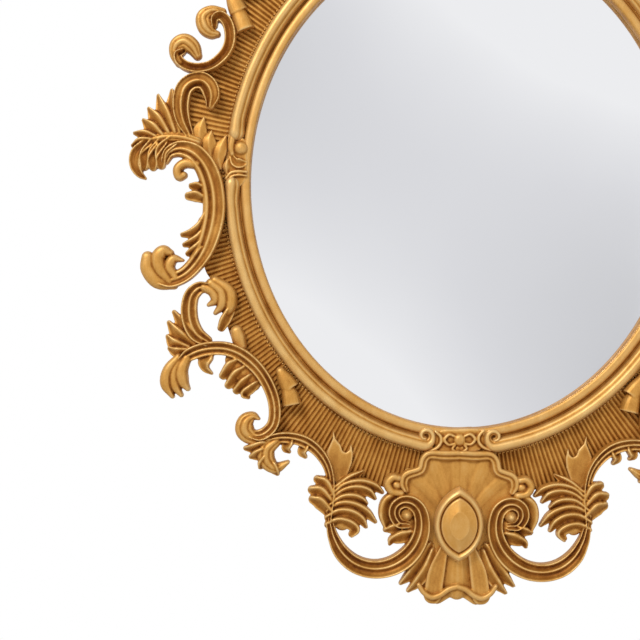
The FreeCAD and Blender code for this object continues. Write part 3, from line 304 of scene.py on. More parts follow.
CORNER_BAND = [(268, 440, 4.5), (280, 438, 5.5), (292, 438.5, 6), (304, 442, 6.3), (314, 448.5, 6),
               (322, 457.5, 5.4), (327.5, 468, 4.6), (330.5, 481, 3.8), (331.2, 494, 3.2), (330, 508, 3),
               (328, 522, 3)]
CORNER_LOBES = [
    (VEINED, [(276, 441, 6), (266.5, 449.5, 8.4), (266.5, 461, 8.6), (275.5, 468.5, 6), (287.5, 463, 2.2)]),
    (CREST, [(262, 446, 6), (253, 448.5, 5.6), (245, 449, 2.6)]),
    (CREST, [(262, 453, 6), (255, 456, 5.4), (250.5, 457.5, 2.6)]),
    (CREST, [(266, 460, 6), (261.5, 465, 5), (260, 468, 2.6)]),
    (CREST, [(272, 466, 5), (275, 471.5, 4.6), (277, 474.5, 2.6)]),
    (CREST, [(288.5, 443, 5), (285.6, 449, 4.6), (289, 452.8, 2)]),
    (CREST, [(304, 447.5, 5), (301.6, 453, 4.6), (305, 457.6, 2.4)]),
    (CREST, [(331, 497, 5.5), (324.5, 484.5, 6.6), (317.5, 480.5, 4.4)]),
    (CREST, [(330, 504, 5.5), (320, 493, 7), (312, 491, 4.6)]),
    (CREST, [(329, 513, 5.5), (319.5, 503.5, 7), (313, 500.5, 4.8)]),
    (CREST, [(336, 490, 4.5), (351, 479.5, 5.2), (363, 472.5, 1.8)]),
    (CREST, [(334, 496, 4), (345.5, 487, 5.2), (360.5, 484, 5.4), (374, 487.5, 5), (382.5, 493.5, 2.2)]),
    (CREST, [(333, 501, 4), (345, 492.5, 5.2), (357.5, 490, 5.4), (368.5, 493, 5), (375, 499.5, 2.2)]),
    (CREST, [(331.5, 506.5, 4), (342.5, 499.5, 5.2), (353, 498.5, 5.4), (361.5, 501, 4.6),
             (366.5, 504.5, 2.2)]),
    (CREST, [(329.5, 512, 4), (341, 506, 5.4), (353.5, 507, 5.8), (366, 513.5, 5.4), (375.5, 523, 2.2)]),
    (CREST, [(328, 518.5, 4), (339, 513.5, 5.4), (351, 514.5, 5.8), (361, 520.5, 5), (366, 528, 2.2)]),
    (CREST, [(328, 526, 4), (338, 522.5, 5.4), (348.5, 524.5, 5.6), (355.5, 530, 5), (351.5, 535.5, 3.2)]),
    (WEB, [(345, 484, 8), (349, 497, 11), (347, 512, 11), (342, 524, 8)]),
    (WEB, [(325, 484, 5), (322.5, 494, 7), (323.5, 506, 6)]),
]

VOLUTE_BAND = [(330, 525, 4), (333, 537, 5.5), (340, 551, 7.5), (351, 562, 8.5), (364, 568, 8.8),
               (378, 569.5, 9), (392, 566.5, 9.3), (405, 559, 9.5), (415, 548, 9), (421, 535, 8.4),
               (422.3, 522, 7.8), (419.5, 510.5, 7.4), (412.5, 503.5, 7), (403.5, 502.2, 6.6),
               (396, 507, 6.2), (394.5, 515.5, 5.8), (399.5, 523.5, 5), (408.5, 525, 3.4)]
VOLUTE_LOBES = [
    (CREST, [(400, 496, 6), (388.5, 503, 7.4), (385.5, 515, 7.2), (387.5, 527, 4.4)]),
    (CREST, [(397.5, 527.5, 4), (391.5, 529.5, 5), (385.5, 531, 2.6)]),
    (CREST, [(410, 535, 5.4), (402, 537.5, 7), (392.5, 541, 4.6), (390, 545.5, 1.8)]),
    (CREST, [(431, 546, 4), (421.5, 562, 6.4), (410, 576, 5.8), (401, 584.5, 2.2)]),
    (CREST, [(434, 552, 4), (428, 569, 6.4), (418, 583, 5.8), (408.5, 592, 2.2)]),
    (ROLL, [(401, 494, 4), (391.5, 491.5, 4.4), (387.8, 484, 4.4), (392.5, 478, 4.2), (399, 478.5, 3.6)]),
    (WEB, [(416, 512, 10), (404, 515, 14), (397, 522, 9)]),
    (WEB, [(403, 522, 7), (411, 528, 8), (415, 535, 6)]),
    (WEB, [(423, 556, 5), (421, 568, 8), (413, 579, 4)]),
]
VOLUTE_EYE = (406.9, 515.2, 6.6)
VOLUTE_EAR = (396.5, 486, 7.6)

# Shield and shell: the left half of its outline, then the strokes on it
PLATE_OUTLINE = [(458, 452), (443, 452.5), (429, 451.5), (421.5, 457), (418.5, 468), (403, 473.5),
                 (399.5, 485), (405, 496), (412, 510), (416, 530), (417, 550), (420, 570), (419, 588),
                 (429, 600), (437.5, 605.5), (447, 601), (458, 594.5)]
BORDER = [(458, 457, 5.8), (444, 457.2, 5.8), (430.5, 456.5, 5.2), (425.2, 461, 5.2), (421.5, 471.5, 5.4),
          (407.5, 477, 5.6), (404.8, 484.5, 5), (406.5, 490, 3.6)]
FIELD_SWELLS = [
    [(458, 500, 8), (458, 477, 10), (458, 455, 11)],
    [(448, 500, 8), (440, 478, 9.5), (433, 457, 10)],
    [(441, 506, 8), (428, 491, 9), (412, 476, 9)],
]
SKIRT_SWELL = [(458, 550, 8), (458, 570, 12), (458, 588, 13)]
SKIRT_FLUTE = [(445, 548, 4), (437, 572, 8.4), (433, 596, 9)]
SKIRT_LIP = [(418.8, 585, 2.4), (423.5, 592.5, 2.8), (431.5, 597.5, 3), (440, 595.5, 3), (449, 589.5, 3),
             (458, 587, 3)]
BOSS_PLACE = (458, 524.6)
BOSS_HALF_WIDTH = 24.8 * CARVING_SCALE
BOSS_HALF_HEIGHT = 37.4 * CARVING_SCALE

# Steps of the boss, as shares of its outline and of its height
BOSS_STEPS = [(1, 0), (1, 0.3), (0.985, 0.5), (0.955, 0.68), (0.91, 0.8), (0.86, 0.84), (0.81, 0.8),
              (0.775, 0.7), (0.755, 0.64), (0.735, 0.64), (0.725, 0.72), (0.705, 0.77), (0.67, 0.79),
              (0.4, 0.98), (0.38, 1), (0.36, 1)]

# Small leaves, bells and buds that lie on the ground. Bells have a blunt mouth.
FLAME_OUTLINE = [(333, 431), (335.5, 440), (340.5, 446), (342.5, 452), (346, 454), (349.5, 451),
                 (351.2, 444.5), (353, 455), (352, 464), (348, 475), (344, 484), (337, 487), (331.5, 479),
                 (328.5, 466), (326.5, 453), (329.5, 446.5), (332.5, 440)]
SIDE_HUSKS = [
    (ROLL, [(280, 372, 5), (284.5, 380, 8.2), (290, 389, 9.4)]),
    (ROLL, [(286, 386, 6), (289.5, 396, 8.6), (291.5, 405.5, 9.6)]),
]
SHOULDER_HUSKS = [
    (ROLL, [(229.5, -10, 5), (233.5, 0, 8), (238, 10, 9.6)]),
    (ROLL, [(236, 6, 6.5), (240, 17, 8.6), (244.5, 28.5, 9.8)]),
]
SIDE_BUDS = [
    (PETAL, [(199, 147, 3), (198.3, 137, 6.8), (199.3, 127, 6.6), (203, 116, 0.8)]),
    (PETAL, [(209, 154, 3), (208, 145.5, 6.8), (208.2, 138, 6.4), (210.4, 129.5, 0.8)]),
    (PETAL, [(219.4, 167, 2.4), (217.5, 157, 6.2), (219.5, 147, 7), (225, 134.5, 0.8)]),
]
LINK_BUDS = [(ROLL, [(241, 346, 5), (238, 338, 7), (236, 331.5, 6.4)])]

# Flowers over the rim: a plate, round buttons as (x, y, radius), and strokes
SIDE_FLOWER_PLATE = [(236.5, 144, 9), (236.8, 160, 9.6), (236, 177, 9)]
SIDE_FLOWER_BUTTONS = [(240, 147.2, 6.8)]
SIDE_FLOWER_STROKES = [
    (ROLL, [(232, 135, 3.4), (230.2, 146, 3.4), (231.2, 153, 2.6)]),
    (SCOOP, [(231.2, 156.5, 2.6), (234.5, 161.5, 4.8), (240, 162.8, 4.8), (246, 162.3, 1.4)]),
    (PETAL, [(226.5, 159, 1.4), (225.2, 166, 3.4), (226, 173, 1.4)]),
    (ROLL, [(225, 178, 1.7), (230, 172.2, 1.9), (237, 170.8, 2), (245.5, 171.2, 1.6)]),
    (ROLL, [(227.5, 180, 1.3), (231.5, 175.6, 1.4), (238, 174.4, 1.4), (245.5, 175.2, 1.2)]),
]
FOOT_FLOWER_PLATE = [(446, 442, 11.6), (460.3, 442.4, 12.2), (475, 441.2, 11.6)]
FOOT_FLOWER_BUTTONS = [(460.2, 441, 6.4)]
FOOT_FLOWER_STROKES = [
    (ROLL, [(455, 437.2, 1.5), (449.5, 435.6, 1.8), (444.8, 440.5, 2), (449, 445.6, 1.8),
            (455, 444.6, 1.5)]),
    (ROLL, [(465.4, 437, 1.5), (471, 435.2, 1.8), (475.6, 440, 2), (471.4, 445.2, 1.8),
            (465.4, 444.4, 1.5)]),
    (ROLL, [(455.6, 445.6, 1.5), (453, 450.4, 1.8), (460, 453.4, 2), (467, 450, 1.8), (464.8, 445.4, 1.5)]),
    (ROLL, [(436, 432.5, 1.6), (441, 437.5, 2), (441.2, 443.5, 2), (437, 449, 2), (429.5, 452.4, 1.7)]),
    (ROLL, [(484.6, 431.5, 1.6), (479.6, 436.7, 2), (479.4, 442.7, 2), (483.6, 448, 2), (491, 451.2, 1.7)]),
]

# The curled end of a moulding: turn in degrees, distance from its eye and half width
CURL = [(0, 0.0120, 0.0098), (40, 0.0104, 0.0074), (80, 0.0088, 0.0056), (120, 0.0080, 0.0051),
        (160, 0.0074, 0.0048), (200, 0.0069, 0.0046), (240, 0.0064, 0.0043), (280, 0.0058, 0.0040),
        (315, 0.0050, 0.0037), (345, 0.0040, 0.0033)]

# The soft front of the rim's band: shares of its width, and drops below its front
RIM_ROUNDING = [(0.04, 0.0022), (0.13, 0.0007), (0.3, 0), (0.6, 0), (0.8, 0.0008), (0.92, 0.0024)]

# Dowels that pin the carvings: places on the ground, and those of the volutes on the shield
GROUND_DOWELS = [(230.5, 36), (205, 83.5), (211.5, 93), (214, 195), (213.5, 221), (230, 301)]
TWINNED_DOWELS = [(261, 371), (275.8, 410), (298, 438.5), (318.5, 452), (428, 470)]
VOLUTE_DOWELS = [(422, 530)]


def oval_point(angle, outset):
    """A point of the oval that stands outset outside the sight edge, at an eccentric angle."""
    right = (SIGHT_HALF_WIDTH + outset) * math.cos(angle)
    return Vector((right, 0, (SIGHT_HALF_HEIGHT + outset) * math.sin(angle)))


def place(pixel, crest=False):
    """A pixel's place in the plane of the carving, as (x, z). Its bearing on the rim and its distance out are
    kept. With crest, the place is turned over to the top of the oval and drawn in towards the middle."""
    seen_right = pixel[0] - CENTRE_X
    seen_down = pixel[1] - CENTRE_Y
    right = seen_right * math.cos(TILT) + seen_down * math.sin(TILT)
    down = seen_down * math.cos(TILT) - seen_right * math.sin(TILT)
    half_width = SIGHT_HALF_PIXELS[0] + RIM_PIXELS
    half_height = SIGHT_HALF_PIXELS[1] + RIM_PIXELS
    angle = math.atan2(-down / half_height, right / half_width)
    beyond = math.hypot(right, down) - math.hypot(half_width * math.cos(angle), half_height * math.sin(angle))
    if crest:
        angle = TOP_ANGLE - math.remainder(angle - FOOT_ANGLE, 2 * math.pi) * CREST_SPREAD_SHARE
    rim = oval_point(angle, RIM_WIDTH)
    return (rim * (1 + beyond * CARVING_SCALE / rim.length)).xz


# Shapes

def smooth_line(rows):
    """A smooth line of vectors through a few given ones."""
    padded = [rows[0] * 2 - rows[1]] + rows + [rows[-1] * 2 - rows[-2]]
    line = []
    for before, start, end, after in zip(padded, padded[1:], padded[2:], padded[3:]):
        for step in range(STEPS_PER_SPAN):
            share = step / STEPS_PER_SPAN
            bend = before * 2 - start * 5 + end * 4 - after
            twist = start * 3 - before - end * 3 + after
            line.append((start * 2 + (end - before) * share + bend * share ** 2 + twist * share ** 3) / 2)
    return line + [rows[-1]]


def section(spot, ahead, half_width, height, seat):
    """The frame of a profile square to a stroke, at (x, z). Its axes run across, off the wall and along."""
    across = Vector((-ahead.y, 0, ahead.x)) * half_width
    along = Vector((ahead.x, 0, ahead.y)) * half_width
    matrix = Matrix((across, FRONT * height, along)).transposed().to_4x4()
    matrix.translation = (spot.x, -seat, spot.y)
    return matrix


def sections_along(rows, height, seat, blunt=False):
    """Sections along a stroke given as rows of (x, z, half width), lower where it is narrow. Its ends are
    rounded, but a blunt one ends in a flat mouth."""
    line = smooth_line(rows)
    widest = max(row.z for row in line)
    frames = []
    for number, row in enumerate(line):
        spot = row.xy
        ahead = (line[min(number + 1, len(line) - 1)].xy - line[max(number - 1, 0)].xy).normalized()
        rise = height * (END_HEIGHT_SHARE + (1 - END_HEIGHT_SHARE) * row.z / widest)
        row_frames = [section(spot, ahead, row.z, rise, seat)]
        is_last = number == len(line) - 1
        if number == 0 or is_last and not blunt:
            outward = -ahead if number == 0 else ahead
            rounding = [section(spot + outward * (row.z * math.sin(turn)), ahead, row.z * math.cos(turn),
                                rise * math.sqrt(math.cos(turn)), seat) for turn in END_TURNS]
            row_frames = rounding[::-1] + row_frames if number == 0 else row_frames + rounding
        frames += row_frames
    return frames


def verts_of(parts):
    """The corners among the parts of a shape."""
    return [part for part in parts if isinstance(part, bmesh.types.BMVert)]


def edges_of(parts):
    """The edges among the parts of a shape."""
    return [part for part in parts if isinstance(part, bmesh.types.BMEdge)]


def loft(profile, frames, closed=False):
    """A mesh shape of one profile drawn through a row of section frames."""
    shape = bmesh.new()
    ring = [shape.verts.new((share, rise, 0)) for share, rise in profile]
    edges = [shape.edges.new(pair) for pair in zip(ring, ring[1:] + ring[:1])]
    bmesh.ops.transform(shape, matrix=frames[0], verts=ring)
    if not closed:
        bmesh.ops.contextual_create(shape, geom=edges)
    for before, after in zip(frames, frames[1:]):
        made = bmesh.ops.extrude_edge_only(shape, edges=edges)["geom"]
        edges = edges_of(made)
        bmesh.ops.transform(shape, matrix=after @ before.inverted(), verts=verts_of(made))
    if closed:
        bmesh.ops.remove_doubles(shape, verts=shape.verts, dist=SEAM_REACH)
    else:
        bmesh.ops.contextual_create(shape, geom=edges)
    bmesh.ops.recalc_face_normals(shape, faces=shape.faces)
    return shape


def stroke(profile, pixels, height, seat, crest=False, blunt=False):
    """A carved stroke given in pixels. A one-sided profile keeps its crest on the upper side."""
    rows = [Vector((*place(pixel, crest), pixel[2] * CARVING_SCALE)) for pixel in pixels]
    if profile is CREST and rows[-1].x < rows[0].x:
        profile = turned(profile)
    return loft(profile, sections_along(rows, height, seat, blunt))


def lobes_of(table, height, seat, crest=False, blunt=False):
    """The leaf lobes of a carving. Neighbours differ a little in height, so that each one shows."""
    return [stroke(profile, pixels, height + LOBE_STAGGER * (number % 2), seat, crest, blunt)
            for number, (profile, pixels) in enumerate(table)]


def dome(spot, radius, height, seat):
    """A round dome at (x, z) that stands on the height seat."""
    shape = bmesh.new()
    ball = Matrix.Translation((spot.x, -seat, spot.y)) @ Matrix.Diagonal((radius, height, radius, 1))
    bmesh.ops.create_uvsphere(shape, u_segments=DOME_SIDES, v_segments=DOME_RINGS, radius=1, matrix=ball)
    cut = bmesh.ops.bisect_plane(shape, geom=shape.verts[:] + shape.edges[:] + shape.faces[:],
                                 plane_co=(0, -seat, 0), plane_no=(0, 1, 0), clear_outer=True)["geom_cut"]
    bmesh.ops.contextual_create(shape, geom=edges_of(cut))
    bmesh.ops.recalc_face_normals(shape, faces=shape.faces)
    return shape


def plate(line, low, high):
    """A flat plate between two heights, from its whole outline as (x, z)."""
    shape = bmesh.new()
    face = shape.faces.new([shape.verts.new((spot.x, -low, spot.y)) for spot in line])
    made = bmesh.ops.extrude_face_region(shape, geom=[face])["geom"]
    bmesh.ops.translate(shape, vec=FRONT * (high - low), verts=verts_of(made))
    bmesh.ops.recalc_face_normals(shape, faces=shape.faces)
    return shape


def symmetric_plate(half, low, high):
    """A flat plate between two heights, from the left half of its outline, which ends on the middle line."""
    line = [row.xy for row in smooth_line([Vector((*spot, 0)) for spot in half])]
    return plate(line + [Vector((-spot.x, spot.y)) for spot in line[-2:0:-1]], low, high)


def both_halves(profile, pixels, height, seat, crest):
    """A stroke of the left half and its twin."""
    left = stroke(profile, pixels, height, seat, crest)
    right = left.copy()
    bmesh.ops.transform(right, matrix=Matrix.Scale(-1, 4, (1, 0, 0)), verts=right.verts)
    bmesh.ops.reverse_faces(right, faces=right.faces)
    return [left, right]


def joined(name, shapes):
    """One mesh of several shapes, which are used up."""
    whole = bmesh.new()
    for shape in shapes:
        part = bpy.data.meshes.new("part")
        shape.to_mesh(part)
        shape.free()
        whole.from_mesh(part)
        bpy.data.meshes.remove(part)
    mesh = bpy.data.meshes.new(name)
    whole.to_mesh(mesh)
    whole.free()
    return mesh


def finished_mesh(block):
    """The mesh that an object's modifiers make."""
    return bpy.data.meshes.new_from_object(block.evaluated_get(bpy.context.evaluated_depsgraph_get()))


def new_object(name, data):
    """An object of the scene for a mesh, lamp or camera."""
    made = bpy.data.objects.new(name, data)
    bpy.context.collection.objects.link(made)
    return made


def fused(name, shapes, voxel):
    """One carved surface of several overlapping shapes, as cut from a single piece of wood. Its relief
    attribute runs from 0 in the hollows to 1 on the ridges, and compares it with a much rubbed copy. The
    gilding paints shade in the hollows and highlights on the ridges from it."""
    rough = joined("rough", shapes)
    block = new_object("block", rough)
    remesh = block.modifiers.new("fuse", "REMESH")
    remesh.mode = "VOXEL"
    remesh.voxel_size = voxel
    smooth = block.modifiers.new("rub", "SMOOTH")
    smooth.factor = RUB_STRENGTH
    smooth.iterations = RUB_PASSES
    mesh = finished_mesh(block)
    smooth.iterations = WORN_PASSES
    worn = finished_mesh(block)
    rises = [(spot.co - rubbed.co).dot(spot.normal) for spot, rubbed in zip(mesh.vertices, worn.vertices)]
    relief = mesh.attributes.new(RELIEF, "FLOAT", "POINT")
    relief.data.foreach_set("value", [min(max(0.5 + rise / RELIEF_REACH / 2, 0), 1) for rise in rises])
    mesh.name = name
    mesh.shade_smooth()
    bpy.data.objects.remove(block)
    bpy.data.meshes.remove(rough)
    bpy.data.meshes.remove(worn)
    return mesh


def mirrored(mesh, name):
    """The right-hand twin of a left-hand mesh."""
    twin = mesh.copy()
    twin.name = name
    twin.transform(Matrix.Scale(-1, 4, (1, 0, 0)))
    twin.flip_normals()
    return twin


# Finishes

# Gold from the hollows to the ridges. The darkest is a patina with painted shade over it, and the palest is
# rubbed gilding with a painted highlight.
GOLD_PATINA_AND_SHADE = (0.10, 0.024, 0.002)
GOLD_SHADE = (0.29, 0.105, 0.013)
GOLD_BODY = (0.53, 0.262, 0.056)
GOLD_RUBBED_AND_HIGHLIGHT = (0.70, 0.45, 0.175)


class Value:
    """A socket of a finish. Sums and products of values add Math nodes."""

    def __init__(self, finish, socket):
        self.finish = finish
        self.socket = socket

    def maths(self, operation, first, second):
        """A Math node on two values or numbers."""
        return self.finish.node("ShaderNodeMath", {0: first, 1: second}, {"operation": operation})

    def __add__(self, other):
        return self.maths("ADD", self, other)

    def __radd__(self, other):
        return self.maths("ADD", other, self)

    def __sub__(self, other):
        return self.maths("SUBTRACT", self, other)

    def __rsub__(self, other):
        return self.maths("SUBTRACT", other, self)

    def __mul__(self, other):
        return self.maths("MULTIPLY", self, other)


class Finish:
    """The finish of a material, or of the surround, being made round the shader that it already has."""

    def __init__(self, owner, shader="Principled BSDF"):
        owner.use_nodes = True
        self.tree = owner.node_tree
        self.shader = self.tree.nodes[shader]

    def node(self, kind, sockets=None, settings=None, output=0):
        """Add a node with its settings, then the values or links of its sockets, and give one output."""
        made = self.tree.nodes.new(kind)
        for key, setting in (settings or {}).items():
            if key == "stops":
                self.fill_ramp(made.color_ramp.elements, setting)
            else:
                setattr(made, key, setting)
        for key, value in (sockets or {}).items():
            self.feed(made.inputs[key], value)
        return Value(self, made.outputs[output])

    def fill_ramp(self, elements, stops):
        """Give a ramp its stops, each a position and a colour."""
        while len(elements) < len(stops):
            elements.new(0.5)
        for element, (position, colour) in zip(elements, stops):
            element.position = position
            element.color = (*colour, 1)

    def feed(self, socket, value):
        """Link a value to a socket, or set a number or colour on it."""
        if isinstance(value, Value):
            self.tree.links.new(value.socket, socket)
        else:
            socket.default_value = value

    def shade(self, **sockets):
        """Feed the shader's sockets, named in lower case with underscores."""
        names = {key.lower().replace(" ", "_"): key for key in self.shader.inputs.keys()}
        for key, value in sockets.items():
            self.feed(self.shader.inputs[names[key]], value)

    def axis(self, letter):
        """The object coordinate along one axis."""
        spot = self.node("ShaderNodeTexCoord", output="Object")
        return self.node("ShaderNodeSeparateXYZ", {"Vector": spot}, output=letter)

    def noise(self, scale, detail, stretch=(1, 1, 1)):
        """Cloudy noise from 0 to 1, in object coordinates scaled by stretch."""
        spot = self.node("ShaderNodeTexCoord", output="Object")
        stretched = self.node("ShaderNodeMapping", {"Vector": spot, "Scale": stretch})
        return self.node("ShaderNodeTexNoise", {"Vector": stretched, "Scale": scale, "Detail": detail})

    def span(self, value, low, high):
        """A value brought from low..high to 0..1 and kept there."""
        sockets = {"Value": value, "From Min": low, "From Max": high}
        return self.node("ShaderNodeMapRange", sockets, {"clamp": True})

    def ramp(self, value, stops):
        """A colour that runs through stops."""
        return self.node("ShaderNodeValToRGB", {"Fac": value}, {"stops": stops})

    def bump(self, value, strength, distance):
        """Normals that follow a fine relief."""
        return self.node("ShaderNodeBump", {"Height": value, "Strength": strength, "Distance": distance})


def gilding(finish, low, high, carved, tone=-0.1, contrast=0.8):
    """Antique gold over wood: a dark patina with painted shade over it, low down and in the hollows, and
    rubbed gilding with a painted highlight, pale on the ridges. A carved surface has its relief, and any
    other takes its edges from how pointed it is. A higher tone is paler, and contrast sets how far the ridges
    differ from the hollows."""
    if carved:
        edge = finish.node("ShaderNodeAttribute", settings={"attribute_name": RELIEF}, output="Fac")
    else:
        edge = finish.span(finish.node("ShaderNodeNewGeometry", output="Pointiness"), 0.44, 0.56)
    # Painted shade: a surface is darker the lower it lies, near the ground or the bed.
    rise = finish.span(0 - finish.axis("Y"), low, high)
    cloud = finish.noise(30, 4)
    streak = finish.noise(150, 4, (1, 1, 0.35))
    grain = finish.noise(520, 3)
    mottle = (cloud - 0.5) * 0.34 + (streak - 0.5) * 0.2 + (grain - 0.5) * 0.14
    # Painted shade in the hollows and low down, a painted highlight on the rubbed ridges, and the gilding's
    # own mottle.
    wear_and_painted_light = edge * contrast + rise * 0.2 + mottle + tone
    stops = [(0.16, GOLD_PATINA_AND_SHADE), (0.36, GOLD_SHADE), (0.56, GOLD_BODY), (0.9, GOLD_RUBBED_AND_HIGHLIGHT)]
    relief = grain * 0.6 + streak + cloud * 2
    finish.shade(base_color=finish.ramp(wear_and_painted_light, stops), metallic=0.4, specular_ior_level=0.15,
                 roughness=0.56 - wear_and_painted_light * 0.16, normal=finish.bump(relief, 0.35, 0.0006))


def silvered_glass(finish):
    """Mirror glass whose colour holds a painted reflection: a soft sheen, palest at the lower left and upper
    right.
    """
    flat = finish.axis("X") * (1 / SIGHT_HALF_WIDTH)
    tall = finish.axis("Z") * (1 / SIGHT_HALF_HEIGHT)
    # Painted reflection: the glass's colour runs paler and duller across it, as a reflected room would.
    painted_reflection = flat * tall + tall * 0.26 + tall * tall * 0.55 + 0.5 + (finish.noise(4, 2) - 0.5) * 0.15
    stops = [(0.1, (0.58, 0.585, 0.61)), (0.5, (0.69, 0.695, 0.725)), (0.9, (0.84, 0.845, 0.865))]
    finish.shade(base_color=finish.ramp(painted_reflection, stops), metallic=1.0,
                 roughness=0.06 + finish.noise(9, 2) * 0.02)


def planed_wood(finish, pale, dark, stretch):
    """Plain wood with grain along one way."""
    rings = finish.noise(60, 5, stretch)
    pores = finish.noise(520, 3, stretch)
    tone = rings * 0.6 + pores * 0.45
    finish.shade(base_color=finish.ramp(tone, [(0.42, dark), (0.64, pale)]), roughness=0.62 + pores * 0.2,
                 normal=finish.bump(pores + rings, 0.3, 0.0004))


def pressed_board(finish):
    """Brown hardboard: a fine felted surface with small flecks."""
    fleck = finish.noise(420, 4)
    patch = finish.noise(14, 4)
    tone = fleck * 0.75 + patch * 0.25
    finish.shade(base_color=finish.ramp(tone, [(0.36, (0.085, 0.042, 0.018)), (0.62, (0.21, 0.118, 0.056))]),
                 roughness=0.75 + fleck * 0.15, normal=finish.bump(fleck, 0.3, 0.0003))


def worn_metal(finish, bright, dull, roughness):
    """Plated or plain metal with faint brushing and dull patches."""
    brush = finish.noise(700, 2, (1, 1, 0.08))
    patch = finish.noise(90, 4)
    tone = brush * 0.4 + patch * 0.6
    finish.shade(base_color=finish.ramp(tone, [(0.35, dull), (0.62, bright)]), metallic=1.0,
                 roughness=roughness + patch * 0.2, normal=finish.bump(brush, 0.12, 0.0002))


def soft_pad(finish, pale, dark, scale):
    """Rubber or felt: a dark matt surface with a fine grain."""
    grain = finish.noise(scale, 3)
    finish.shade(base_color=finish.ramp(grain, [(0.3, dark), (0.7, pale)]), roughness=0.8 + grain * 0.15,
                 normal=finish.bump(grain, 0.4, 0.0004))


def pale_paint(finish):
    """Plain pale paint for the floor."""
    finish.shade(base_color=(0.85, 0.85, 0.85, 1), roughness=0.9)


def new_material(name, dress, *settings):
    """A material that one of the finishes above dresses."""
    material = bpy.data.materials.new(name)
    dress(Finish(material), *settings)
    return material


FINISHES = {name: new_material(name, *row) for name, *row in [
    ("gilt_carving", gilding, GROUND, GROUND + 0.008, True),
    ("gilt_shield", gilding, GROUND, GROUND + 0.008, True, 0.08, 0.52),
    ("gilt_boss", gilding, GROUND, PLATE, False, 0.08, 0.6),
    # The ground's gold is darker in the grooves between its ribs and darker overall: painted shade where it
    # lies low among the carvings.
    ("gilt_ground", gilding, GROUND - 0.0022, GROUND + 0.0004, False, -0.13, 0.48),
    ("gilt_moulding", gilding, BED - 0.004, BED + 0.008, False, 0.1, 0.6),
    ("gilt_flower", gilding, BED - 0.004, BED + 0.006, True),
    ("bare_wood", planed_wood, (0.42, 0.27, 0.14), (0.24, 0.135, 0.06), (0.12, 1, 1)),
    ("dowel_wood", planed_wood, (0.52, 0.37, 0.2), (0.38, 0.24, 0.11), (1, 0.1, 1)),
    ("felt", soft_pad, (0.03, 0.03, 0.032), (0.008, 0.008, 0.009), 1800),
    ("mirror", silvered_glass),
    ("board", pressed_board),
    ("brass", worn_metal, (0.62, 0.4, 0.13), (0.36, 0.22, 0.07), 0.3),
    ("steel", worn_metal, (0.62, 0.62, 0.63), (0.4, 0.4, 0.41), 0.28),
    ("rubber", soft_pad, (0.022, 0.022, 0.023), (0.01, 0.01, 0.011), 700),
]}


# Pieces

def add_piece(name, mesh, slot, *nodes, finish=None):
    """A finished piece on the frame that stands for some nodes."""
    piece = new_object(name, mesh)
    mesh.materials.append(FINISHES[finish or slot])
    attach(piece, "frame")
    if nodes:
        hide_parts(*nodes)
    return piece


def soften(piece, width, angle):
    """Round off the edges of a piece that turn by more than an angle."""
    bevel = piece.modifiers.new("soften", "BEVEL")
    bevel.width = width
    bevel.segments = SOFTENING_STEPS
    bevel.limit_method = "ANGLE"
    bevel.angle_limit = angle


def add_pair(name, mesh, slot, node):
    """A piece for the left node and its twin for the right one."""
    add_piece(f"{name}_left", mesh, slot, f"{node}_left")
    add_piece(f"{name}_right", mirrored(mesh, f"{name}_right"), slot, f"{node}_right")


def add_both(node, shapes, slot="gilt_carving", finish=None):
    """One piece for a node that has the same shapes on both sides, from those of the left side."""
    left = fused("carved_" + node, shapes, CARVING_VOXEL)
    both = bmesh.new()
    both.from_mesh(left)
    both.from_mesh(mirrored(left, "twin"))
    both.to_mesh(left)
    both.free()
    left.shade_smooth()
    add_piece("carved_" + node, left, slot, node, finish=finish)


def carve(node, band_profile, band, lobes, crest=False, extra=(), seat=GROUND):
    """A pair of carvings: a scrolled band with its leaf lobes."""
    shapes = [stroke(band_profile, band, BAND_HEIGHT, seat, crest)]
    shapes += lobes_of(lobes, LOBE_HEIGHT, seat + LOBE_LIFT, crest)
    mesh = fused("carved_" + node, shapes + list(extra), CREST_VOXEL if crest else CARVING_VOXEL)
    add_pair("carved_" + node, mesh, "gilt_carving", node)


def volute_eye(crest):
    """The ball in the middle of a volute and the low dome of the ear above it."""
    return [dome(place(pixel, crest), pixel[2] * CARVING_SCALE, height, GROUND + VOLUTE_LIFT)
            for pixel, height in ((VOLUTE_EYE, EYE_HEIGHT), (VOLUTE_EAR, EAR_HEIGHT))]


def carvings():
    """Every scrolled carving, in pairs."""
    carve("upper_scroll", ONE_COVE, UPPER_BAND, UPPER_LOBES)
    carve("acanthus", CURLED_BAND, ACANTHUS_BAND, ACANTHUS_LOBES)
    carve("side_scroll", RIBBED_BAND, SIDE_BAND, SIDE_LOBES)
    carve("link_scroll", TWO_COVES, LINK_BAND, LINK_LOBES)
    for crest, lower, corner, volute in ((False, "lower_scroll", "corner_scroll", "volute"),
                                         (True, "crest_scroll", "crest_corner", "crest_volute")):
        carve(lower, TWO_COVES, LOWER_BAND, LOWER_LOBES, crest)
        carve(corner, TWO_COVES, CORNER_BAND, CORNER_LOBES, crest)
        carve(volute, RIDGED_BAND, VOLUTE_BAND, VOLUTE_LOBES, crest, volute_eye(crest), GROUND + VOLUTE_LIFT)


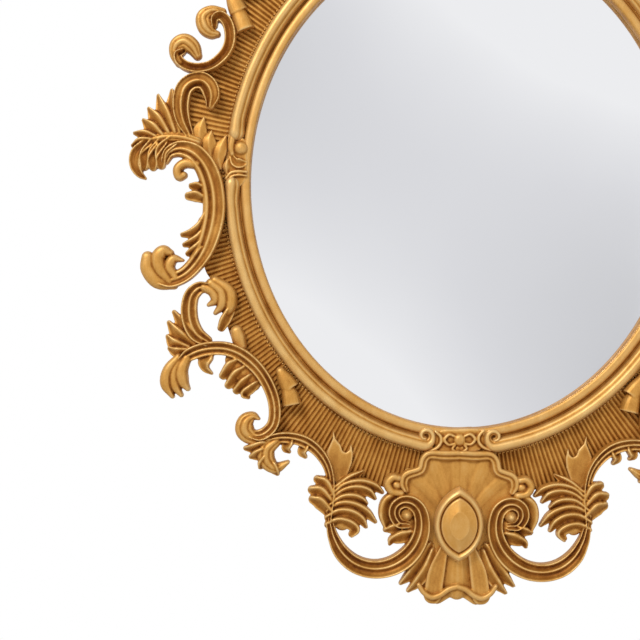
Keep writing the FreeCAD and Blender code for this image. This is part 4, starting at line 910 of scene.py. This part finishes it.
def dowels():
    """Pegs with softened ends that pin the carvings, hidden under them."""
    low, high = GROUND - DOWEL_REACH, GROUND + DOWEL_REACH
    spots = [(place(pixel), low, high) for pixel in GROUND_DOWELS]
    for crest in (False, True):
        spots += [(place(pixel, crest), low, high) for pixel in TWINNED_DOWELS]
        spots += [(place(pixel, crest), GROUND + VOLUTE_LIFT, PLATE - VOLUTE_LIFT) for pixel in VOLUTE_DOWELS]
    shape = bmesh.new()
    for spot, back, front in spots:
        for side in (-1, 1):
            centre = Matrix.Translation((spot.x * side, -(back + front) / 2, spot.y))
            bmesh.ops.create_cone(shape, cap_ends=True, segments=DOWEL_SIDES, radius1=DOWEL_RADIUS,
                                  radius2=DOWEL_RADIUS, depth=front - back,
                                  matrix=centre @ Matrix.Rotation(math.pi / 2, 4, "X"))
    ends = [edge for edge in shape.edges if edge.calc_length() < DOWEL_RADIUS]
    bmesh.ops.bevel(shape, geom=ends, offset=DOWEL_SOFTENING, affect="EDGES", segments=SOFTENING_STEPS,
                    profile=0.5, material=-1)
    add_piece("carving_pegs", joined("carving_pegs", [shape]), "dowel_wood", "carving_dowels")


def small_leaves():
    """Flames, bells and buds on the ground, each kind as one piece for both sides."""
    flames = [plate([place(pixel, crest) for pixel in FLAME_OUTLINE], GROUND, GROUND + FLAME_HEIGHT)
              for crest in (False, True)]
    add_both("flame_leaves", flames)
    bells = lobes_of(SIDE_HUSKS, BELL_HEIGHT, GROUND, blunt=True)
    bells += lobes_of(SIDE_HUSKS, BELL_HEIGHT, GROUND, crest=True, blunt=True)
    add_both("side_husks", bells)
    add_both("shoulder_husks", lobes_of(SHOULDER_HUSKS, BELL_HEIGHT, GROUND, blunt=True))
    add_both("side_buds", lobes_of(SIDE_BUDS, LEAF_HEIGHT, GROUND))
    add_both("link_buds", lobes_of(LINK_BUDS, BELL_HEIGHT, GROUND))


def flower_shapes(plate_rows, buttons, strokes, crest=False):
    """A flower across the rim: a plate, flat-topped buttons, and petals as strokes."""
    shapes = [stroke(SLAB, plate_rows, FLOWER_PLATE, BED, crest)]
    for x, y, radius in buttons:
        ends = [(x + way * BUTTON_HALF_LENGTH_PIXELS, y, radius) for way in (-1, 1)]
        shapes.append(stroke(ROLL, ends, FLOWER_BUTTON, BED, crest))
    return shapes + [stroke(profile, pixels, FLOWER_PETAL, BED, crest) for profile, pixels in strokes]


def flowers():
    """The flowers between the ends of the mouldings."""
    side = flower_shapes(SIDE_FLOWER_PLATE, SIDE_FLOWER_BUTTONS, SIDE_FLOWER_STROKES)
    add_both("side_flowers", side, "gilt_moulding", "gilt_flower")
    for node, crest in (("foot_flower", False), ("crest_flower", True)):
        shapes = flower_shapes(FOOT_FLOWER_PLATE, FOOT_FLOWER_BUTTONS, FOOT_FLOWER_STROKES, crest)
        add_piece("carved_" + node, fused("carved_" + node, shapes, CARVING_VOXEL), "gilt_moulding", node,
                  finish="gilt_flower")


def beading():
    """Small beads on the ground, along the outside of the rim."""
    shape = bmesh.new()
    for step in range(BEAD_COUNT):
        spot = oval_point(2 * math.pi * step / BEAD_COUNT, RIM_WIDTH + BEAD_OUTSET)
        spot.y = -GROUND
        bmesh.ops.create_uvsphere(shape, u_segments=BEAD_SIDES, v_segments=BEAD_RINGS, radius=BEAD_RADIUS,
                                  matrix=Matrix.Translation(spot))
    mesh = joined("rim_beading", [shape])
    mesh.shade_smooth()
    add_piece("rim_beading", mesh, "gilt_carving", finish="gilt_boss")


def cartouche(node, crest):
    """The shield and shell: a plate with a stepped border, swells above the boss, and a skirt with a lip."""
    outline = [place(pixel, crest) for pixel in PLATE_OUTLINE]
    outline[0].x = 0
    outline[-1].x = 0
    field = PLATE - FIELD_SINK
    shapes = [symmetric_plate(outline, GROUND, field)]
    shapes += both_halves(STEPPED, BORDER, BORDER_HEIGHT + FIELD_SINK, field, crest)
    for pixels in FIELD_SWELLS:
        shapes += both_halves(SWELL, pixels, FIELD_SWELL_HEIGHT, field - LOBE_LIFT, crest)
    shapes += both_halves(SWELL, SKIRT_SWELL, SKIRT_HEIGHT, field - LOBE_LIFT, crest)
    shapes += both_halves(SCOOP, SKIRT_FLUTE, SKIRT_HEIGHT, field - LOBE_LIFT, crest)
    shapes += both_halves(ROLL, SKIRT_LIP, LIP_HEIGHT, field, crest)
    mesh = fused("carved_" + node, shapes, CREST_VOXEL if crest else CARVING_VOXEL)
    add_piece("carved_" + node, mesh, "gilt_carving", node, finish="gilt_shield")


def boss(node, crest):
    """The pointed oval boss: a round rim, a groove, and a raised table with a flat-topped cut stone on it."""
    centre = place(BOSS_PLACE, crest)
    bulge = (BOSS_HALF_HEIGHT ** 2 - BOSS_HALF_WIDTH ** 2) / (2 * BOSS_HALF_WIDTH)
    radius = BOSS_HALF_WIDTH + bulge
    reach = math.asin(BOSS_HALF_HEIGHT / radius)
    arc = [Vector((radius * math.cos(turn) - bulge, radius * math.sin(turn)))
           for turn in (reach * (2 * step / BOSS_SIDES - 1) for step in range(BOSS_SIDES))]
    lift = BOSS_FRONT - PLATE - BOSS_CLEARANCE
    frames = [Matrix.Translation((0, -PLATE - rise * lift, centre.y)) @ Matrix.Rotation(math.pi / 2, 4, "X")
              @ Matrix.Diagonal((share, share, 1, 1)) for share, rise in BOSS_STEPS]
    mesh = joined("carved_" + node, [loft([tuple(spot) for spot in arc + [-spot for spot in arc]], frames)])
    mesh.shade_smooth()
    mesh.set_sharp_from_angle(angle=BOSS_SHARP_ANGLE)
    add_piece("carved_" + node, mesh, "gilt_carving", node, finish="gilt_boss")


def oval_section(angle):
    """The frame of the rim at an angle: its axes run outward, off the wall and along the oval."""
    outward = Vector((math.cos(angle), 0, math.sin(angle)))
    along = Vector((-math.sin(angle), 0, math.cos(angle)))
    matrix = Matrix((outward, FRONT, along)).transposed().to_4x4()
    matrix.translation = oval_point(angle, 0)
    return matrix


def sight_rim():
    """The oval rim: a raised inner band with a soft front, a quirk beside it and the bed of the mouldings."""
    front = [(RIM_BAND_WIDTH * share, RIM_FRONT - drop) for share, drop in RIM_ROUNDING]
    quirk = [(RIM_BAND_WIDTH, BED + QUIRK_RISE), (RIM_BAND_WIDTH * QUIRK_SHARE, BED)]
    profile = [(0, RIM_BACK), (0, BED)] + front + quirk + [(RIM_WIDTH, BED), (RIM_WIDTH, RIM_BACK)]
    frames = [oval_section(2 * math.pi * step / RIM_STEPS) for step in range(RIM_STEPS + 1)]
    mesh = joined("moulded_sight_rim", [loft(profile, frames, closed=True)])
    piece = add_piece("moulded_sight_rim", mesh, "gilt_moulding", "sight_rim")
    soften(piece, RIM_SOFTENING, RIM_SHARP_ANGLE)
    mesh.shade_smooth()


def shoulder(angle, middle, eye_room):
    """The row of a moulding's wide round end."""
    spot = oval_point(angle, middle)
    return [Vector((spot.x, spot.z, eye_room * SHOULDER_SHARE))]


def scrolled_end(angle, way):
    """Rows of a moulding's end, from where it leaves its run to its eye. way is the run's side of the eye."""
    centre = oval_point(angle, CURL_OUTSET).xz
    outward = Vector((math.cos(angle), math.sin(angle)))
    along = Vector((math.sin(angle), -math.cos(angle))) * way
    rows = []
    for degrees, radius, tube in CURL:
        turn = math.radians(degrees)
        spot = centre + outward * (radius * math.cos(turn)) + along * (radius * math.sin(turn))
        rows.append(Vector((*spot, tube)))
    return rows


def moulding(node, first, first_gap, last, last_gap):
    """A pair of torus mouldings on the rim's bed. Beside the foot and crest they turn in on themselves round
    a small eye, and beside the side flowers they widen into a round shoulder."""
    middle = (RIM_BAND_WIDTH + RIM_WIDTH) / 2
    eye_room = (RIM_WIDTH - RIM_BAND_WIDTH) / 2
    start = first + (first_gap / 2 + eye_room) / oval_point(first + TOP_ANGLE, middle).length
    end = last - (last_gap / 2 + eye_room) / oval_point(last + TOP_ANGLE, middle).length
    outset = RIM_WIDTH - MOULDING_HALF_WIDTH
    rows = []
    for step in range(1, MOULDING_SPANS):
        spot = oval_point(start + (end - start) * step / MOULDING_SPANS, outset)
        rows.append(Vector((spot.x, spot.z, MOULDING_HALF_WIDTH)))
    if first == SIDE_ANGLE:
        rows = shoulder(start, middle, eye_room) + rows + scrolled_end(end, -1)
    else:
        rows = scrolled_end(start, 1)[::-1] + rows + shoulder(end, middle, eye_room)
    mesh = joined("torus_" + node, [loft(TORUS, sections_along(rows, MOULDING_HEIGHT, BED))])
    mesh.shade_smooth()
    add_pair("torus_" + node, mesh, "gilt_moulding", node)


def mouldings():
    """The runs of torus moulding between the flowers."""
    moulding("upper_moulding", TOP_ANGLE, FOOT_GAP, SIDE_ANGLE, SIDE_GAP)
    moulding("lower_moulding", SIDE_ANGLE, SIDE_GAP, FOOT_ANGLE, FOOT_GAP)


def dress_nodes():
    """Finishes and softened edges for the nodes that stay as they are."""
    for row in frame["record"]["subparts"]:
        node = frame["nodes"][row["node"]]
        node.data.materials.clear()
        node.data.materials.append(FINISHES[row["material_slot"]])
        if row["node"] in SOFTENED:
            weld = node.modifiers.new("weld", "WELD")
            weld.merge_threshold = WELD_REACH
            soften(node, SOFTENED[row["node"]], SOFT_ANGLE)


# Stage

def floor():
    """The plain pale floor."""
    shape = bmesh.new()
    bmesh.ops.create_grid(shape, x_segments=1, y_segments=1, size=FLOOR_HALF_SIZE,
                          matrix=Matrix.Translation((0, 0, FLOOR_LEVEL)))
    mesh = joined("floor", [shape])
    mesh.materials.append(new_material("pale_floor", pale_paint))
    ground = new_object("floor", mesh)


def surround():
    """A surround that is white to the eye and in reflections, and softer as light on the object."""
    world = bpy.data.worlds.new("white_surround")
    white = Finish(world, "Background")
    direct, glossy, clear = [white.node("ShaderNodeLightPath", output=f"Is {ray} Ray")
                             for ray in ("Camera", "Glossy", "Transmission")]
    seen = direct.maths("MAXIMUM", direct.maths("MAXIMUM", direct, glossy), clear)
    level = white.node("ShaderNodeMapRange", {"Value": seen, "To Min": SURROUND_LIGHT, "To Max": 1.0})
    white.shade(color=(1, 1, 1, 1), strength=level)
    bpy.context.scene.world = world


def lamps():
    """Soft lamps that face the middle of the mirror."""
    for name, spot, size, power in LAMPS:
        lamp = bpy.data.lights.new(name, "AREA")
        lamp.size = size
        lamp.energy = power
        holder = new_object(name, lamp)
        holder.location = spot
        holder.rotation_euler = (-Vector(spot)).to_track_quat("-Z", "Y").to_euler()


def camera():
    """The camera, which faces the wall and takes in a set width at the carving's height."""
    data = bpy.data.cameras.new("camera")
    data.sensor_fit = "HORIZONTAL"
    data.angle = 2 * math.atan(VIEW_HALF_WIDTH / (-CAMERA_PLACE.y - VIEW_HEIGHT))
    holder = new_object("camera", data)
    holder.matrix_world = (Matrix.Translation(CAMERA_PLACE) @ Matrix.Rotation(math.pi / 2, 4, "X")
                           @ Matrix.Rotation(TILT, 4, "Z"))
    bpy.context.scene.camera = holder
    bpy.context.scene.view_settings.view_transform = "Standard"


carvings()
small_leaves()
flowers()
beading()
dowels()
cartouche("foot_cartouche", False)
cartouche("crest_cartouche", True)
boss("foot_boss", False)
boss("crest_boss", True)
sight_rim()
mouldings()
dress_nodes()
floor()
surround()
lamps()
camera()
